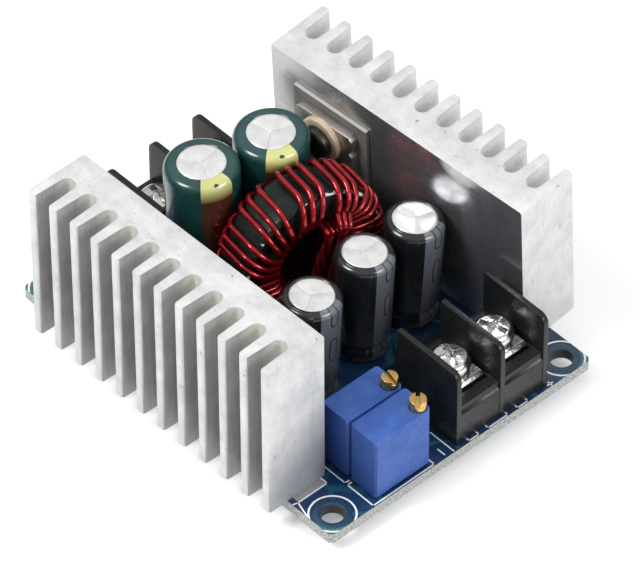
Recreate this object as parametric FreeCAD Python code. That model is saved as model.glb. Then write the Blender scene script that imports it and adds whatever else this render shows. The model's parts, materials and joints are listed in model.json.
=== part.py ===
# Step-down converter module: a blue circuit board with two finned heatsinks,
# a ring-core inductor, five electrolytic capacitors, two trimmers and two screw terminals.
# Millimetres. X runs along the board towards the output terminal, Y across it, Z up.
# The origin is the centre of the four mounting holes on the underside of the board.

import math
import os

import FreeCAD
import Part
from FreeCAD import Vector

os.makedirs("parts", exist_ok=True)

# General fits
loose_fit = 0.05          # round piece in its hole, each side
hole_fit = 0.15           # lead in its hole in the board, each side
lead_tail = 1.6           # trimmed lead length under the board

# Flat sides that stand for a round, coarser on what is small and repeats
lead_sides = 6
bolt_sides = 12
can_sides = 30
core_sides = 44
root_sides = 6            # half round between two fins

# Circuit board
board_length = 60.0
board_width = 45.8
board_thickness = 1.6
board_corner = 0.5        # broken corners
mount_inset = 2.75        # mounting hole centre from both board edges
mount_hole_radius = 1.6

# Finned heatsinks, both cut from one extrusion
fin_count = 12
fin_pitch = 3.96
fin_tip = 1.45            # fin thickness at the tip
fin_root = 1.75           # fin thickness at the root
sink_depth = 9.77         # inner face to fin tips
sink_base = 4.19          # solid base behind the fins
sink_height = 25.5
sink_pin_radius = 1.0
sink_pin_inset = 4.5      # pin centre from the end of the heatsink
sink_pin_grip = 5.0       # pin length pressed into the base
sink_pin_sides = 8
sink_gap = 33.4           # between the inner faces at the middle of the board
left_sink_x = -0.77
right_sink_x = 0.14
left_sink_turn = 0.9      # degrees, as assembled by hand
right_sink_turn = 3.0
right_sink_lean = 2.7     # degrees, the top tips towards the inductor

# Power devices screwed to the heatsinks through soft pads
device_x = -11.2          # device centre along the board
device_top = 20.15        # top of the metal tab above the board
tab_width = 10.16
tab_length = 15.6
tab_thickness = 1.27
tab_hole_drop = 2.8       # hole centre under the tab's top edge
tab_hole_radius = 1.88
tab_notch = 0.6
case_drop = 6.3           # top of the moulded case under the tab's top edge
case_height = 9.15
case_thickness = 3.3      # in front of the tab
case_draft = 0.45
rectifier_lead_count = 3
rectifier_lead_pitch = 2.54
regulator_lead_count = 5
regulator_lead_pitch = 1.7
device_lead_seat = 0.8    # lead length held in the case
device_lead_width = 0.8
rectifier_shoulder_width = 1.25
device_shoulder = 2.6
device_lead_thickness = 0.45
device_lead_depth = 2.7   # lead plane in front of the pad
pad_width = 13.2
pad_height = 18.4
pad_top = 21.6
pad_thickness = 0.6
case_dimple_radius = 0.9
case_dimple_drop = 2.2    # dimple centre under the top of the case
case_dimple_depth = 0.25

# Machine screws and their insulating bushes
screw_radius = 1.5
screw_length = 6.0
screw_head_radius = 2.8
screw_head_height = 2.0
bush_radius = 3.3
bush_flange = 0.9
tapped_depth = 3.9

# Electrolytic capacitors
sleeve_wall = 0.2
bevel_height = 0.95       # rolled top edge of the can
can_stand = 0.3           # can bottom above the board
cap_lead_radius = 0.3
input_cap_radius = 5.05
input_cap_height = 23.3
input_cap_face = 3.25     # radius of bare metal left open by the sleeve
input_cap_lead_pitch = 5.0
output_cap_radius = 4.05
output_cap_height = 16.4
output_cap_face = 2.98
output_cap_lead_pitch = 3.5
# each one's x from the inductor, its y, then how far it leans (degrees) and towards which side
input_caps = {"left": (-10.4, -5.4, 1.2, -125), "right": (-9.0, 4.9, 1.0, -60)}
output_caps = {"left": (11.2, -7.4, 2.2, 47), "middle": (10.0, 2.8, 2.3, 47), "right": (9.8, 11.6, 2.8, 47)}

# Ring-core inductor, standing on the board and turned a little
core_radius = 10.55
core_bore_radius = 6.05
core_height = 6.4
core_edge = 0.7
core_x = -2.6
core_y = 1.6
core_turn = -8.0
wire_radius = 0.4
wire_fit = 0.06           # wire over the core
strand_count = 3
turn_count = 12
turn_pitch = 29.8         # degrees round the ring
first_turn = 90.0         # where the first turn crosses the outside
first_gap = 3.5           # extra room after the first turn
back_drift = 18.0         # each turn's slant over the back face, degrees
bore_spread = 0.94        # strand to strand in the bore
outer_spread = 1.5        # strand to strand on the outside
tail_spread = 0.96
core_stand = 0.35         # winding above the board
start_tail_across = -4.0  # leads meet the board this far across from the middle of the ring
finish_tail_across = -1.2
tail_gap = 0.5            # start leads in front of the winding
tail_layer = 0.94         # finish leads in front of the start leads
tail_rise = 5.0           # upright length above the trimmed ends
finish_leave_radius = 8.2 # where the finish leads leave the front face
finish_turn_radius = 6.8  # and where they turn down

# Multi-turn trimmers
small_parts_room = 6.505  # between the left output capacitor and the inner trimmer
trimmer_pitch = 5.28
trimmer_y = -9.79
trimmer_width = 4.83
trimmer_length = 9.53
trimmer_height = 10.03
trimmer_stand = 0.3       # moulded feet
trimmer_edge = 0.3
trimmer_foot = 0.9
adjuster_side_inset = 1.27
adjuster_end_inset = 1.1
adjuster_radius = 1.15
adjuster_rise = 1.5
adjuster_depth = 2.4
adjuster_slot_width = 0.5
adjuster_slot_depth = 0.7
near_slot_angle = 138.0
far_slot_angle = -13.0
trimmer_pin_radius = 0.25
trimmer_pin_pitch = 2.54

# Barrier screw terminals
terminal_pitch = 7.62
wall_thickness = 0.8
wall_height = 12.8
wall_depth = 11.3
wall_round = 1.3
terminal_base = 6.2
base_front_inset = 0.1
base_lip = 0.35
base_lip_height = 1.2
terminal_screw_x = -0.25  # screw centre from the middle of the housing
output_terminal_lead = 0.135   # its walls stand this far past the outer trimmer
output_terminal_y = 7.45
input_terminal_gap = 0.1       # behind the left input capacitor
input_terminal_y = -0.6
wall_round_sides = 4
contact_thickness = 0.8
contact_width = 6.0
contact_back = -4.0       # behind the screw side
contact_front = 2.4
contact_fit = 0.05
contact_pin_x = -2.9
contact_pocket_front = 3.5
contact_pin_radius = 0.65
clamp_thickness = 0.8
clamp_width = 5.8
clamp_back = -3.2
clamp_tab = 0.45          # bent lip over the front of the contact
clamp_tab_thickness = 0.65
clamp_fit = 0.1
terminal_screw_radius = 1.5
terminal_head_radius = 2.7
terminal_head_height = 2.1
terminal_screw_length = 4.6

# Small parts soldered flat on the board
chip_length = 4.9
chip_width = 3.9
chip_height = 1.45
chip_stand = 0.12
chip_pin_pitch = 1.27
chip_pins_per_side = 4
chip_pin_width = 0.42
chip_pin_reach = 1.05
chip_pin_thickness = 0.22
chip_gap = 0.5            # from the left output capacitor
chip_y = -12.2
resistor_length = 2.0
resistor_width = 1.25
resistor_height = 0.55
resistor_offsets = [(-4.4, -2.4), (-4.4, -0.6), (-0.7, 4.6), (-0.7, 6.5)]   # from the chip
sense_length = 3.2
sense_width = 6.3
sense_height = 0.7
sense_gap = 0.95
sense_rows = [3.6, 10.6]
lamp_length = 2.0
lamp_width = 1.25
lamp_height = 0.9
lamp_gap = 3.95
lamp_rows = [-7.6, -5.7]

# Solder
solder_height = 0.8
solder_reach = 0.7        # solder foot beyond the lead's hole
solder_neck = 0.3

X_AXIS = Vector(1, 0, 0)
Y_AXIS = Vector(0, 1, 0)
Z_AXIS = Vector(0, 0, 1)
ORIGIN = Vector(0, 0, 0)

board_top = board_thickness
board_end = board_length / 2
tail_end = -lead_tail
far = 2 * board_length    # past everything
leads_through = []        # (shape, clearance solid) pairs that pass through the board


def box(x0, x1, y0, y1, z0, z1):
    return Part.makeBox(x1 - x0, y1 - y0, z1 - z0, Vector(x0, y0, z0))


def rod(radius, start, end):
    return Part.makeCylinder(radius, (end - start).Length, start, end - start)


def extrude(points, direction):
    loop = [Vector(*p) for p in points]
    return Part.Face(Part.makePolygon(loop + [loop[0]])).extrude(direction)


def skinned(rings):
    # closed solid through a row of rings, with flat faces from each ring to the next
    sides = len(rings[0])
    faces = [Part.Face(Part.makePolygon(rings[0] + [rings[0][0]]))]
    for low, high in zip(rings[:-1], rings[1:]):
        for k in range(sides):
            m = (k + 1) % sides
            faces.append(Part.Face(Part.makePolygon([low[k], low[m], high[m], high[k], low[k]])))
    faces.append(Part.Face(Part.makePolygon(rings[-1] + [rings[-1][0]])))
    shell = Part.makeShell(faces)
    shell.sewShape()
    return Part.makeSolid(shell)


def turned(profile, sides):
    # (radius, height) points turned about Z, with flat sides
    rings = []
    for radius, z in profile:
        angles = [2 * math.pi * k / sides for k in range(sides)]
        rings.append([Vector(radius * math.cos(a), radius * math.sin(a), z) for a in angles])
    return skinned(rings).removeSplitter()


def prism(radius, start, end, sides):
    along = (end - start).normalize()
    side = along.cross(X_AXIS if abs(along.y) > 0.9 else Y_AXIS).normalize()
    other = along.cross(side)
    ring = []
    for k in range(sides):
        a = 2 * math.pi * k / sides
        ring.append(start + side * (radius * math.cos(a)) + other * (radius * math.sin(a)))
    return Part.Face(Part.makePolygon(ring + [ring[0]])).extrude(end - start)


def joined(shapes):
    result = shapes[0]
    if len(shapes) > 1:
        result = result.fuse(shapes[1:])
    return result.removeSplitter()


def group(shapes):
    return Part.makeCompound(shapes)


def export(name, shape):
    shape.exportStep("parts/" + name + ".step")


def board_hole(x, y, lead_radius):
    return prism(lead_radius + hole_fit, Vector(x, y, -1), Vector(x, y, board_top + 1), lead_sides)


def trimmed(shape):
    # snipped level below the board
    return shape.cut(box(-far, far, -far, far, tail_end - far, tail_end))


# Heatsinks
sink_length = (fin_count - 1) * fin_pitch + fin_tip


def seat_right(shape):
    # from the heatsink's own frame (x along it, y into it, z up from its foot) to the board
    placed = shape.copy()
    placed.rotate(ORIGIN, X_AXIS, right_sink_lean)
    placed.rotate(ORIGIN, Z_AXIS, right_sink_turn)
    placed.translate(Vector(right_sink_x, sink_gap / 2, board_top))
    return placed


def seat_left(shape):
    placed = shape.copy()
    placed.rotate(ORIGIN, Z_AXIS, 180 + left_sink_turn)
    placed.translate(Vector(left_sink_x, -sink_gap / 2, board_top))
    return placed


def fin_slot(centre_x):
    # open slot between two fins, with a half-round root
    tip_half = (fin_pitch - fin_tip) / 2
    root_half = (fin_pitch - fin_root) / 2
    outline = [(centre_x + tip_half, sink_depth, -1), (centre_x + tip_half, sink_depth + 1, -1),
               (centre_x - tip_half, sink_depth + 1, -1), (centre_x - tip_half, sink_depth, -1)]
    for k in range(root_sides + 1):
        a = math.pi * k / root_sides
        outline.append((centre_x - root_half * math.cos(a), sink_base + root_half * (1 - math.sin(a)), -1))
    return extrude(outline, Vector(0, 0, sink_height + 2))


def cross_hole(radius, x, z, y0, y1):
    # round hole or pin along Y
    return prism(radius, Vector(x, y0, z), Vector(x, y1, z), bolt_sides)


def make_heatsink(screw_x):
    body = box(-sink_length / 2, sink_length / 2, 0, sink_depth, 0, sink_height)
    first_slot = -sink_length / 2 + fin_tip / 2 + fin_pitch / 2
    slots = [fin_slot(first_slot + k * fin_pitch) for k in range(fin_count - 1)]
    body = body.cut(slots)
    tapped = cross_hole(screw_radius + loose_fit, screw_x, screw_z, -1, tapped_depth)
    sockets = [prism(sink_pin_radius, Vector(x, sink_base / 2, -1), Vector(x, sink_base / 2, sink_pin_grip),
                     sink_pin_sides)
               for x in sink_pin_places]
    return body.cut([tapped] + sockets)


screw_z = device_top - tab_hole_drop
sink_pin_places = [-sink_length / 2 + sink_pin_inset, sink_length / 2 - sink_pin_inset]
right_device_x = device_x - right_sink_x
left_device_x = left_sink_x - device_x

export("right_heatsink", seat_right(make_heatsink(right_device_x)))
export("left_heatsink", seat_left(make_heatsink(left_device_x)))

sink_pins = []
for seat in (seat_right, seat_left):
    for x in sink_pin_places:
        low = Vector(x, sink_base / 2, -board_thickness - lead_tail - 1)
        high = Vector(x, sink_base / 2, sink_pin_grip)
        pin = trimmed(seat(prism(sink_pin_radius, low, high, sink_pin_sides)))
        sink_pins.append(pin)
        leads_through.append((pin, seat(prism(sink_pin_radius + 2 * hole_fit, low, high, sink_pin_sides))))
export("heatsink_pins", group(sink_pins))


# Power devices, in the heatsink's own frame
def make_pad(x):
    pad = box(x - pad_width / 2, x + pad_width / 2, -pad_thickness, 0, pad_top - pad_height, pad_top)
    return pad.cut(cross_hole(tab_hole_radius, x, screw_z, -pad_thickness - 1, 1))


def make_tab(x):
    back = -pad_thickness
    front = back - tab_thickness
    half = tab_width / 2
    tab = box(x - half, x + half, front, back, device_top - tab_length, device_top)
    top_corners = []
    for edge in tab.Edges:
        c = edge.CenterOfMass
        if abs(c.z - device_top) < 0.01 and abs(abs(c.x - x) - half) < 0.01:
            top_corners.append(edge)
    tab = tab.makeChamfer(tab_notch, top_corners)
    hole = cross_hole(tab_hole_radius, x, screw_z, front - 1, 1)
    notches = [cross_hole(tab_notch, x + side * half, screw_z, front - 1, 1) for side in (-1, 1)]
    return tab.cut([hole] + notches)


def make_case(x):
    top = device_top - case_drop
    back = -pad_thickness - tab_thickness
    half = tab_width / 2
    low = top - case_height
    front = back - case_thickness
    inner = [Vector(x - half, back, low), Vector(x + half, back, low), Vector(x + half, back, top),
             Vector(x - half, back, top)]
    d = case_draft
    outer = [Vector(x - half + d, front, low + d), Vector(x + half - d, front, low + d),
             Vector(x + half - d, front, top - d), Vector(x - half + d, front, top - d)]
    dimple_z = top - case_dimple_drop
    dimple = cross_hole(case_dimple_radius, x, dimple_z, front - 1, front + case_dimple_depth)
    return skinned([inner, outer]).cut(dimple)


def make_device_leads(x, count, pitch, shoulder_width):
    top = device_top - case_drop - case_height
    y = -pad_thickness - device_lead_depth
    y0 = y - device_lead_thickness / 2
    y1 = y + device_lead_thickness / 2
    low = -board_thickness - lead_tail - 1
    leads = []
    for k in range(count):
        cx = x + (k - (count - 1) / 2) * pitch
        shoulder = box(cx - shoulder_width / 2, cx + shoulder_width / 2, y0, y1, top - device_shoulder,
                       top + device_lead_seat)
        leg = box(cx - device_lead_width / 2, cx + device_lead_width / 2, y0, y1, low, top - device_shoulder)
        leads.append(joined([shoulder, leg]))
    return leads


def make_bush(x):
    flange_back = -pad_thickness - tab_thickness
    front = flange_back - bush_flange
    flange = cross_hole(bush_radius, x, screw_z, front, flange_back)
    barrel = cross_hole(tab_hole_radius - loose_fit, x, screw_z, front, -pad_thickness)
    bore = cross_hole(screw_radius + loose_fit, x, screw_z, front - 1, 1)
    return joined([flange, barrel]).cut(bore)


def make_screw(x):
    # drawn along Z with the seat of its head at zero, then laid along +Y
    r = screw_head_radius
    h = screw_head_height
    profile = [(screw_radius, -screw_length), (screw_radius, 0), (r, 0), (r, h * 0.55), (r * 0.7, h)]
    screw = turned(profile, bolt_sides)
    screw.rotate(ORIGIN, X_AXIS, 90)
    screw.translate(Vector(x, -pad_thickness - tab_thickness - bush_flange, screw_z))
    return screw


bushes = []
screws = []
devices = [("right", seat_right, right_device_x, "switching_regulator"),
           ("left", seat_left, left_device_x, "rectifier_diode")]
for side, seat, x, device in devices:
    export(side + "_insulating_pad", seat(make_pad(x)))
    export(device + "_tab", seat(make_tab(x)))
    if device == "switching_regulator":
        own_leads = make_device_leads(x, regulator_lead_count, regulator_lead_pitch, device_lead_width)
    else:
        own_leads = make_device_leads(x, rectifier_lead_count, rectifier_lead_pitch, rectifier_shoulder_width)
    export(device + "_case", seat(make_case(x).cut(own_leads)))
    device_leads = [trimmed(seat(lead)) for lead in own_leads]
    export(device + "_leads", group(device_leads))
    for lead in device_leads:
        b = lead.common(box(-far, far, -far, far, tail_end, board_top)).BoundBox
        clear = box(b.XMin - hole_fit, b.XMax + hole_fit, b.YMin - hole_fit, b.YMax + hole_fit, -1,
                    board_top + 1)
        leads_through.append((lead, clear))
    bushes.append(seat(make_bush(x)))
    screws.append(seat(make_screw(x)))
export("insulating_bushes", group(bushes))
export("heatsink_screws", group(screws))


# Electrolytic capacitors: bare can, shrink sleeve and two leads each
def make_capacitor(name, radius, height, face_radius, lead_pitch, x, y, lean, lean_way, lead_way):
    can_radius = radius - sleeve_wall
    shoulder = height - bevel_height
    rim = height + sleeve_wall * 0.4
    low = -can_stand * 0.6
    can = turned([(can_radius, 0), (can_radius, shoulder), (face_radius, height)], can_sides)
    inside = turned([(can_radius, low - 1), (can_radius, shoulder), (face_radius, rim)], can_sides)
    sleeve = turned([(radius, low), (radius, shoulder), (face_radius + 0.1, rim)], can_sides).cut(inside)
    leads = []
    for side in (-1, 1):
        px = side * lead_pitch / 2 * math.cos(math.radians(lead_way))
        py = side * lead_pitch / 2 * math.sin(math.radians(lead_way))
        tip = -can_stand - board_thickness - lead_tail
        leads.append(prism(cap_lead_radius, Vector(px, py, tip), Vector(px, py, 0), lead_sides))
    base = Vector(x, y, board_top + can_stand + radius * math.sin(math.radians(lean)))
    tilt_axis = Vector(-math.sin(math.radians(lean_way)), math.cos(math.radians(lean_way)), 0)
    for shape in [can, sleeve]:
        shape.rotate(ORIGIN, tilt_axis, lean)
        shape.translate(base)
    placed_leads = []
    for lead in leads:
        # leads stay upright in the board and end inside the foot of the can
        lead.translate(Vector(x, y, board_top + can_stand))
        placed_leads.append(lead.cut(can))
        c = lead.BoundBox.Center
        clear = board_hole(c.x, c.y, cap_lead_radius)
        leads_through.append((lead, clear))
    export(name + "_can", can)
    export(name + "_sleeve", sleeve)
    export(name + "_leads", group(placed_leads))


for label, (x, y, lean, lean_way) in input_caps.items():
    make_capacitor("input_capacitor_" + label, input_cap_radius, input_cap_height, input_cap_face,
                   input_cap_lead_pitch, core_x + x, y, lean, lean_way, 90)
for label, (x, y, lean, lean_way) in output_caps.items():
    make_capacitor("output_capacitor_" + label, output_cap_radius, output_cap_height, output_cap_face,
                   output_cap_lead_pitch, core_x + x, y, lean, lean_way, 0)

# Inductor: a coated ring core wound with three parallel enamelled wires
winding_radius = core_radius + wire_fit + wire_radius
bore_winding_radius = core_bore_radius - wire_fit - wire_radius
winding_half = core_height / 2 + wire_fit + wire_radius
core_z = board_top + core_stand + winding_radius + wire_radius
core_turn_rad = math.radians(core_turn)


def seat_core(point):
    # ring plane (across, up) and axial offset to the board's frame
    across, up, axial = point
    cx = math.cos(core_turn_rad)
    sx = math.sin(core_turn_rad)
    return Vector(core_x + axial * cx - across * sx, core_y + axial * sx + across * cx, core_z + up)


def ring_point(radius, angle, axial):
    a = math.radians(angle)
    return seat_core((radius * math.cos(a), radius * math.sin(a), axial))


def tube(path, radius, sides):
    # flat-sided wire with a mitred joint at each bend
    along = (path[1] - path[0]).normalize()
    side = along.cross(Y_AXIS).normalize()
    other = along.cross(side)
    ring = []
    for k in range(sides):
        a = 2 * math.pi * (k + 0.5) / sides
        ring.append(path[0] + side * (radius * math.cos(a)) + other * (radius * math.sin(a)))
    rings = [ring]
    for i in range(1, len(path)):
        along = (path[i] - path[i - 1]).normalize()
        mitre = along
        if i < len(path) - 1:
            mitre = along + (path[i + 1] - path[i]).normalize()
        reach = along.dot(mitre)
        rings.append([corner + along * ((path[i] - corner).dot(mitre) / reach) for corner in rings[-1]])
    return skinned(rings)


half = core_height / 2
outside = [(core_radius - core_edge, -half), (core_radius, -half + core_edge),
           (core_radius, half - core_edge), (core_radius - core_edge, half)]
bore = [(core_bore_radius + core_edge, -half), (core_bore_radius, -half + core_edge),
        (core_bore_radius, half - core_edge), (core_bore_radius + core_edge, half)]
core = turned(outside, core_sides).cut(turned(bore, core_sides))
core.rotate(ORIGIN, Y_AXIS, 90)
core.rotate(ORIGIN, Z_AXIS, core_turn)
core.translate(Vector(core_x, core_y, core_z))
export("inductor_core", core)

tail_z = tail_end - core_z
start_layer = winding_half + wire_radius + tail_gap
finish_layer = start_layer + tail_layer
for strand in range(strand_count):
    offset = strand - (strand_count - 1) / 2
    outer_step = math.degrees(outer_spread / winding_radius) * offset
    bore_step = math.degrees(bore_spread / bore_winding_radius) * offset
    start_across = start_tail_across - offset * tail_spread
    points = [seat_core((start_across, tail_z, start_layer)),
              seat_core((start_across, tail_z + tail_rise, start_layer)),
              ring_point(bore_winding_radius, first_turn - back_drift + bore_step, start_layer)]
    for k in range(turn_count):
        outside = first_turn + k * turn_pitch + (first_gap if k else 0)
        bore_angle = outside - back_drift + bore_step
        outer_angle = outside + outer_step
        points.append(ring_point(bore_winding_radius, bore_angle, winding_half))
        points.append(ring_point(bore_winding_radius, bore_angle, -winding_half))
        points.append(ring_point(winding_radius, outer_angle, -winding_half))
        points.append(ring_point(winding_radius, outer_angle, winding_half))
    # the finish leads come off the front face and drop beside the start leads
    finish_across = finish_tail_across - offset * tail_spread
    points += [ring_point(finish_leave_radius, outer_angle, winding_half),
               ring_point(finish_turn_radius, outer_angle, finish_layer),
               seat_core((finish_across, tail_z + tail_rise, finish_layer)),
               seat_core((finish_across, tail_z, finish_layer))]
    wire = tube(points, wire_radius, lead_sides)
    export("inductor_wire_" + "abc"[strand], wire)
    for tip in (points[0], points[-1]):
        leads_through.append((wire, board_hole(tip.x, tip.y, wire_radius)))


# Trimmers: moulded body on four feet, brass adjusting screw and three pins
def make_trimmer(name, x, y, slot_angle):
    low = board_top + trimmer_stand
    high = low + trimmer_height
    half_width = trimmer_width / 2
    half_length = trimmer_length / 2
    body = box(x - half_width, x + half_width, y - half_length, y + half_length, low, high)
    uprights = [e for e in body.Edges if abs(e.Vertexes[0].Z - e.Vertexes[1].Z) > 1]
    body = body.makeChamfer(trimmer_edge, uprights)
    feet = []
    foot = trimmer_foot
    for sx in (-1, 1):
        for sy in (-1, 1):
            fx = x + sx * (half_width - foot)
            fy = y + sy * (half_length - foot)
            feet.append(box(fx - foot / 2, fx + foot / 2, fy - foot / 2, fy + foot / 2, board_top, low))
    body = joined([body] + feet)
    ax = x + half_width - adjuster_side_inset
    ay = y + half_length - adjuster_end_inset
    bottom = high - adjuster_depth
    well = rod(adjuster_radius + loose_fit, Vector(ax, ay, bottom - loose_fit), Vector(ax, ay, high + 1))
    export(name + "_body", body.cut(well))
    top = high + adjuster_rise
    screw = rod(adjuster_radius, Vector(0, 0, bottom), Vector(0, 0, top))
    slot_half = adjuster_slot_width / 2
    slot = box(-far, far, -slot_half, slot_half, top - adjuster_slot_depth, top + 1)
    screw = screw.cut(slot)
    screw.rotate(ORIGIN, Z_AXIS, slot_angle)
    screw.translate(Vector(ax, ay, 0))
    export(name + "_screw", screw)
    pins = []
    for k in (-1, 0, 1):
        py = y + k * trimmer_pin_pitch
        pin = prism(trimmer_pin_radius, Vector(x, py, tail_end), Vector(x, py, low), lead_sides)
        pins.append(pin)
        leads_through.append((pin, board_hole(x, py, trimmer_pin_radius)))
    export(name + "_pins", group(pins))


# places towards both ends of the board, counted from the inductor outwards
output_caps_end = core_x + output_caps["left"][0] + output_cap_radius
input_caps_end = core_x + input_caps["left"][0] - input_cap_radius
inner_trimmer_x = output_caps_end + small_parts_room + trimmer_width / 2
outer_trimmer_x = inner_trimmer_x + trimmer_pitch
output_terminal_x = outer_trimmer_x + trimmer_width / 2 + output_terminal_lead - wall_depth / 2
input_terminal_x = input_caps_end - input_terminal_gap - wall_depth / 2
make_trimmer("outer_trimmer", outer_trimmer_x, trimmer_y, near_slot_angle)
make_trimmer("inner_trimmer", inner_trimmer_x, trimmer_y, far_slot_angle)

# Screw terminals, drawn with the wire entry towards +X and the middle wall at the origin
contact_top = terminal_base
contact_low = contact_top - contact_thickness
clamp_top = contact_top + clamp_thickness
bay_centres = [-terminal_pitch / 2, terminal_pitch / 2]


def make_housing():
    front = wall_depth / 2
    walls = []
    for k in (-1, 0, 1):
        y0 = k * terminal_pitch - wall_thickness / 2
        outline = [(-front, y0, wall_height), (-front, y0, 0), (front, y0, 0)]
        for step in range(wall_round_sides + 1):
            a = math.pi / 2 * step / wall_round_sides
            back = wall_round * (1 - math.cos(a))
            down = wall_round * (1 - math.sin(a))
            outline.append((front - back, y0, wall_height - down))
        walls.append(extrude(outline, Vector(0, wall_thickness, 0)))
    half_width = terminal_pitch + wall_thickness / 2
    base_front = front - base_front_inset
    base = extrude([(-front, -half_width, 0), (base_front, -half_width, 0),
                    (base_front, -half_width, terminal_base - base_lip_height),
                    (base_front - base_lip, -half_width, terminal_base - base_lip_height + base_lip),
                    (base_front - base_lip, -half_width, terminal_base),
                    (-front, -half_width, terminal_base)],
                   Vector(0, 2 * half_width, 0))
    housing = joined([base] + walls)
    for y in bay_centres:
        half = contact_width / 2 + contact_fit
        pocket = box(contact_back - contact_fit, contact_pocket_front, y - half, y + half, contact_low,
                     terminal_base + 1)
        well_end = clamp_top - terminal_screw_length - 0.4
        well = prism(terminal_screw_radius + 4 * loose_fit, Vector(terminal_screw_x, y, well_end),
                     Vector(terminal_screw_x, y, terminal_base + 1), 8)
        pin_hole = prism(contact_pin_radius + loose_fit, Vector(contact_pin_x, y, -1),
                         Vector(contact_pin_x, y, terminal_base), lead_sides)
        housing = housing.cut([pocket, well, pin_hole])
    return housing


def make_contact(y):
    half = contact_width / 2
    strip = box(contact_back, contact_front, y - half, y + half, contact_low, contact_top)
    strip = strip.cut(prism(terminal_screw_radius + loose_fit, Vector(terminal_screw_x, y, 0),
                            Vector(terminal_screw_x, y, contact_top + 1), bolt_sides))
    pin = prism(contact_pin_radius, Vector(contact_pin_x, y, -board_thickness - lead_tail),
                Vector(contact_pin_x, y, contact_low), lead_sides)
    return joined([strip, pin])


def make_clamp(y):
    y0 = y - clamp_width / 2
    inner = contact_front + clamp_fit
    outer = inner + clamp_tab_thickness
    low = contact_top - clamp_tab
    bend = clamp_thickness / 2
    side = [(clamp_back, y0, contact_top), (inner, y0, contact_top), (inner, y0, low), (outer, y0, low),
            (outer, y0, clamp_top - bend), (outer - bend, y0, clamp_top), (clamp_back, y0, clamp_top)]
    plate = extrude(side, Vector(0, clamp_width, 0))
    return plate.cut(prism(terminal_screw_radius, Vector(terminal_screw_x, y, 0),
                           Vector(terminal_screw_x, y, clamp_top + 1), bolt_sides))


def make_terminal_screw(y):
    r = terminal_head_radius
    h = terminal_head_height
    shank = terminal_screw_radius
    profile = [(shank, -terminal_screw_length), (shank, 0), (r, 0), (r, h * 0.5), (r * 0.72, h)]
    screw = turned(profile, bolt_sides)
    screw.translate(Vector(terminal_screw_x, y, clamp_top))
    return screw


for name, x, y, turn in (("output", output_terminal_x, output_terminal_y, 0),
                         ("input", input_terminal_x, input_terminal_y, 180)):
    def seat_terminal(shape, x=x, y=y, turn=turn):
        placed = shape.copy()
        placed.rotate(ORIGIN, Z_AXIS, turn)
        placed.translate(Vector(x, y, board_top))
        return placed

    export(name + "_terminal_housing", seat_terminal(make_housing()))
    contacts = [seat_terminal(make_contact(bay)) for bay in bay_centres]
    export(name + "_terminal_contacts", group(contacts))
    for contact, bay in zip(contacts, bay_centres):
        low = Vector(contact_pin_x, bay, -board_thickness - 1)
        high = Vector(contact_pin_x, bay, 1)
        clear = seat_terminal(prism(contact_pin_radius + hole_fit, low, high, lead_sides))
        leads_through.append((contact, clear))
    for label, bay in zip(("a", "b"), bay_centres):
        export(name + "_clamp_plate_" + label, seat_terminal(make_clamp(bay)))
        export(name + "_terminal_screw_" + label, seat_terminal(make_terminal_screw(bay)))

# Small parts soldered flat on the board beside the trimmers
chip_x = output_caps_end + chip_gap + chip_length / 2
sense_x = output_caps_end + sense_gap + sense_length / 2
lamp_x = output_caps_end + lamp_gap + lamp_length / 2


def flat_part(length, width, height, x, y, stand=0.0):
    low = board_top + stand
    return box(x - length / 2, x + length / 2, y - width / 2, y + width / 2, low, low + height)


export("control_amplifier", flat_part(chip_length, chip_width, chip_height, chip_x, chip_y, chip_stand))
chip_pins = []
pin_knee = chip_width / 2 + chip_pin_thickness + 0.1
pin_mid = chip_stand + chip_height / 2
for side in (-1, 1):
    for k in range(chip_pins_per_side):
        x0 = (k - (chip_pins_per_side - 1) / 2) * chip_pin_pitch - chip_pin_width / 2
        outline = [(chip_width / 2, pin_mid - chip_pin_thickness),
                   (pin_knee - chip_pin_thickness, pin_mid - chip_pin_thickness),
                   (pin_knee - chip_pin_thickness, 0), (chip_width / 2 + chip_pin_reach, 0),
                   (chip_width / 2 + chip_pin_reach, chip_pin_thickness), (pin_knee, chip_pin_thickness),
                   (pin_knee, pin_mid), (chip_width / 2, pin_mid)]
        pin = extrude([(x0, side * y, z) for y, z in outline], Vector(chip_pin_width, 0, 0))
        pin.translate(Vector(chip_x, chip_y, board_top))
        chip_pins.append(pin)
export("control_amplifier_pins", group(chip_pins))

resistors = []
for dx, dy in resistor_offsets:
    resistors.append(flat_part(resistor_length, resistor_width, resistor_height, chip_x + dx, chip_y + dy))
export("chip_resistors", group(resistors))
export("current_sense_resistors", group([flat_part(sense_length, sense_width, sense_height, sense_x, y)
                                         for y in sense_rows]))
lamps = []
for y in lamp_rows:
    base = flat_part(lamp_length, lamp_width, lamp_height / 2, lamp_x, y)
    dome = flat_part(lamp_length * 0.6, lamp_width, lamp_height, lamp_x, y)
    lamps.append(joined([base, dome]))
export("indicator_lamps", group(lamps))

# Board, cut for every lead that passes through it
half_width = board_width / 2
board = box(-board_end, board_end, -half_width, half_width, 0, board_thickness)
corners = [e for e in board.Edges if abs(e.Vertexes[0].Z - e.Vertexes[1].Z) > 1]
board = board.makeChamfer(board_corner, corners)
mount_holes = []
for sx in (-1, 1):
    for sy in (-1, 1):
        hx = sx * (board_end - mount_inset)
        hy = sy * (half_width - mount_inset)
        mount_holes.append(rod(mount_hole_radius, Vector(hx, hy, -1), Vector(hx, hy, board_thickness + 1)))
board = board.cut(mount_holes + [clear for lead, clear in leads_through])
export("circuit_board", board)

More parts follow.
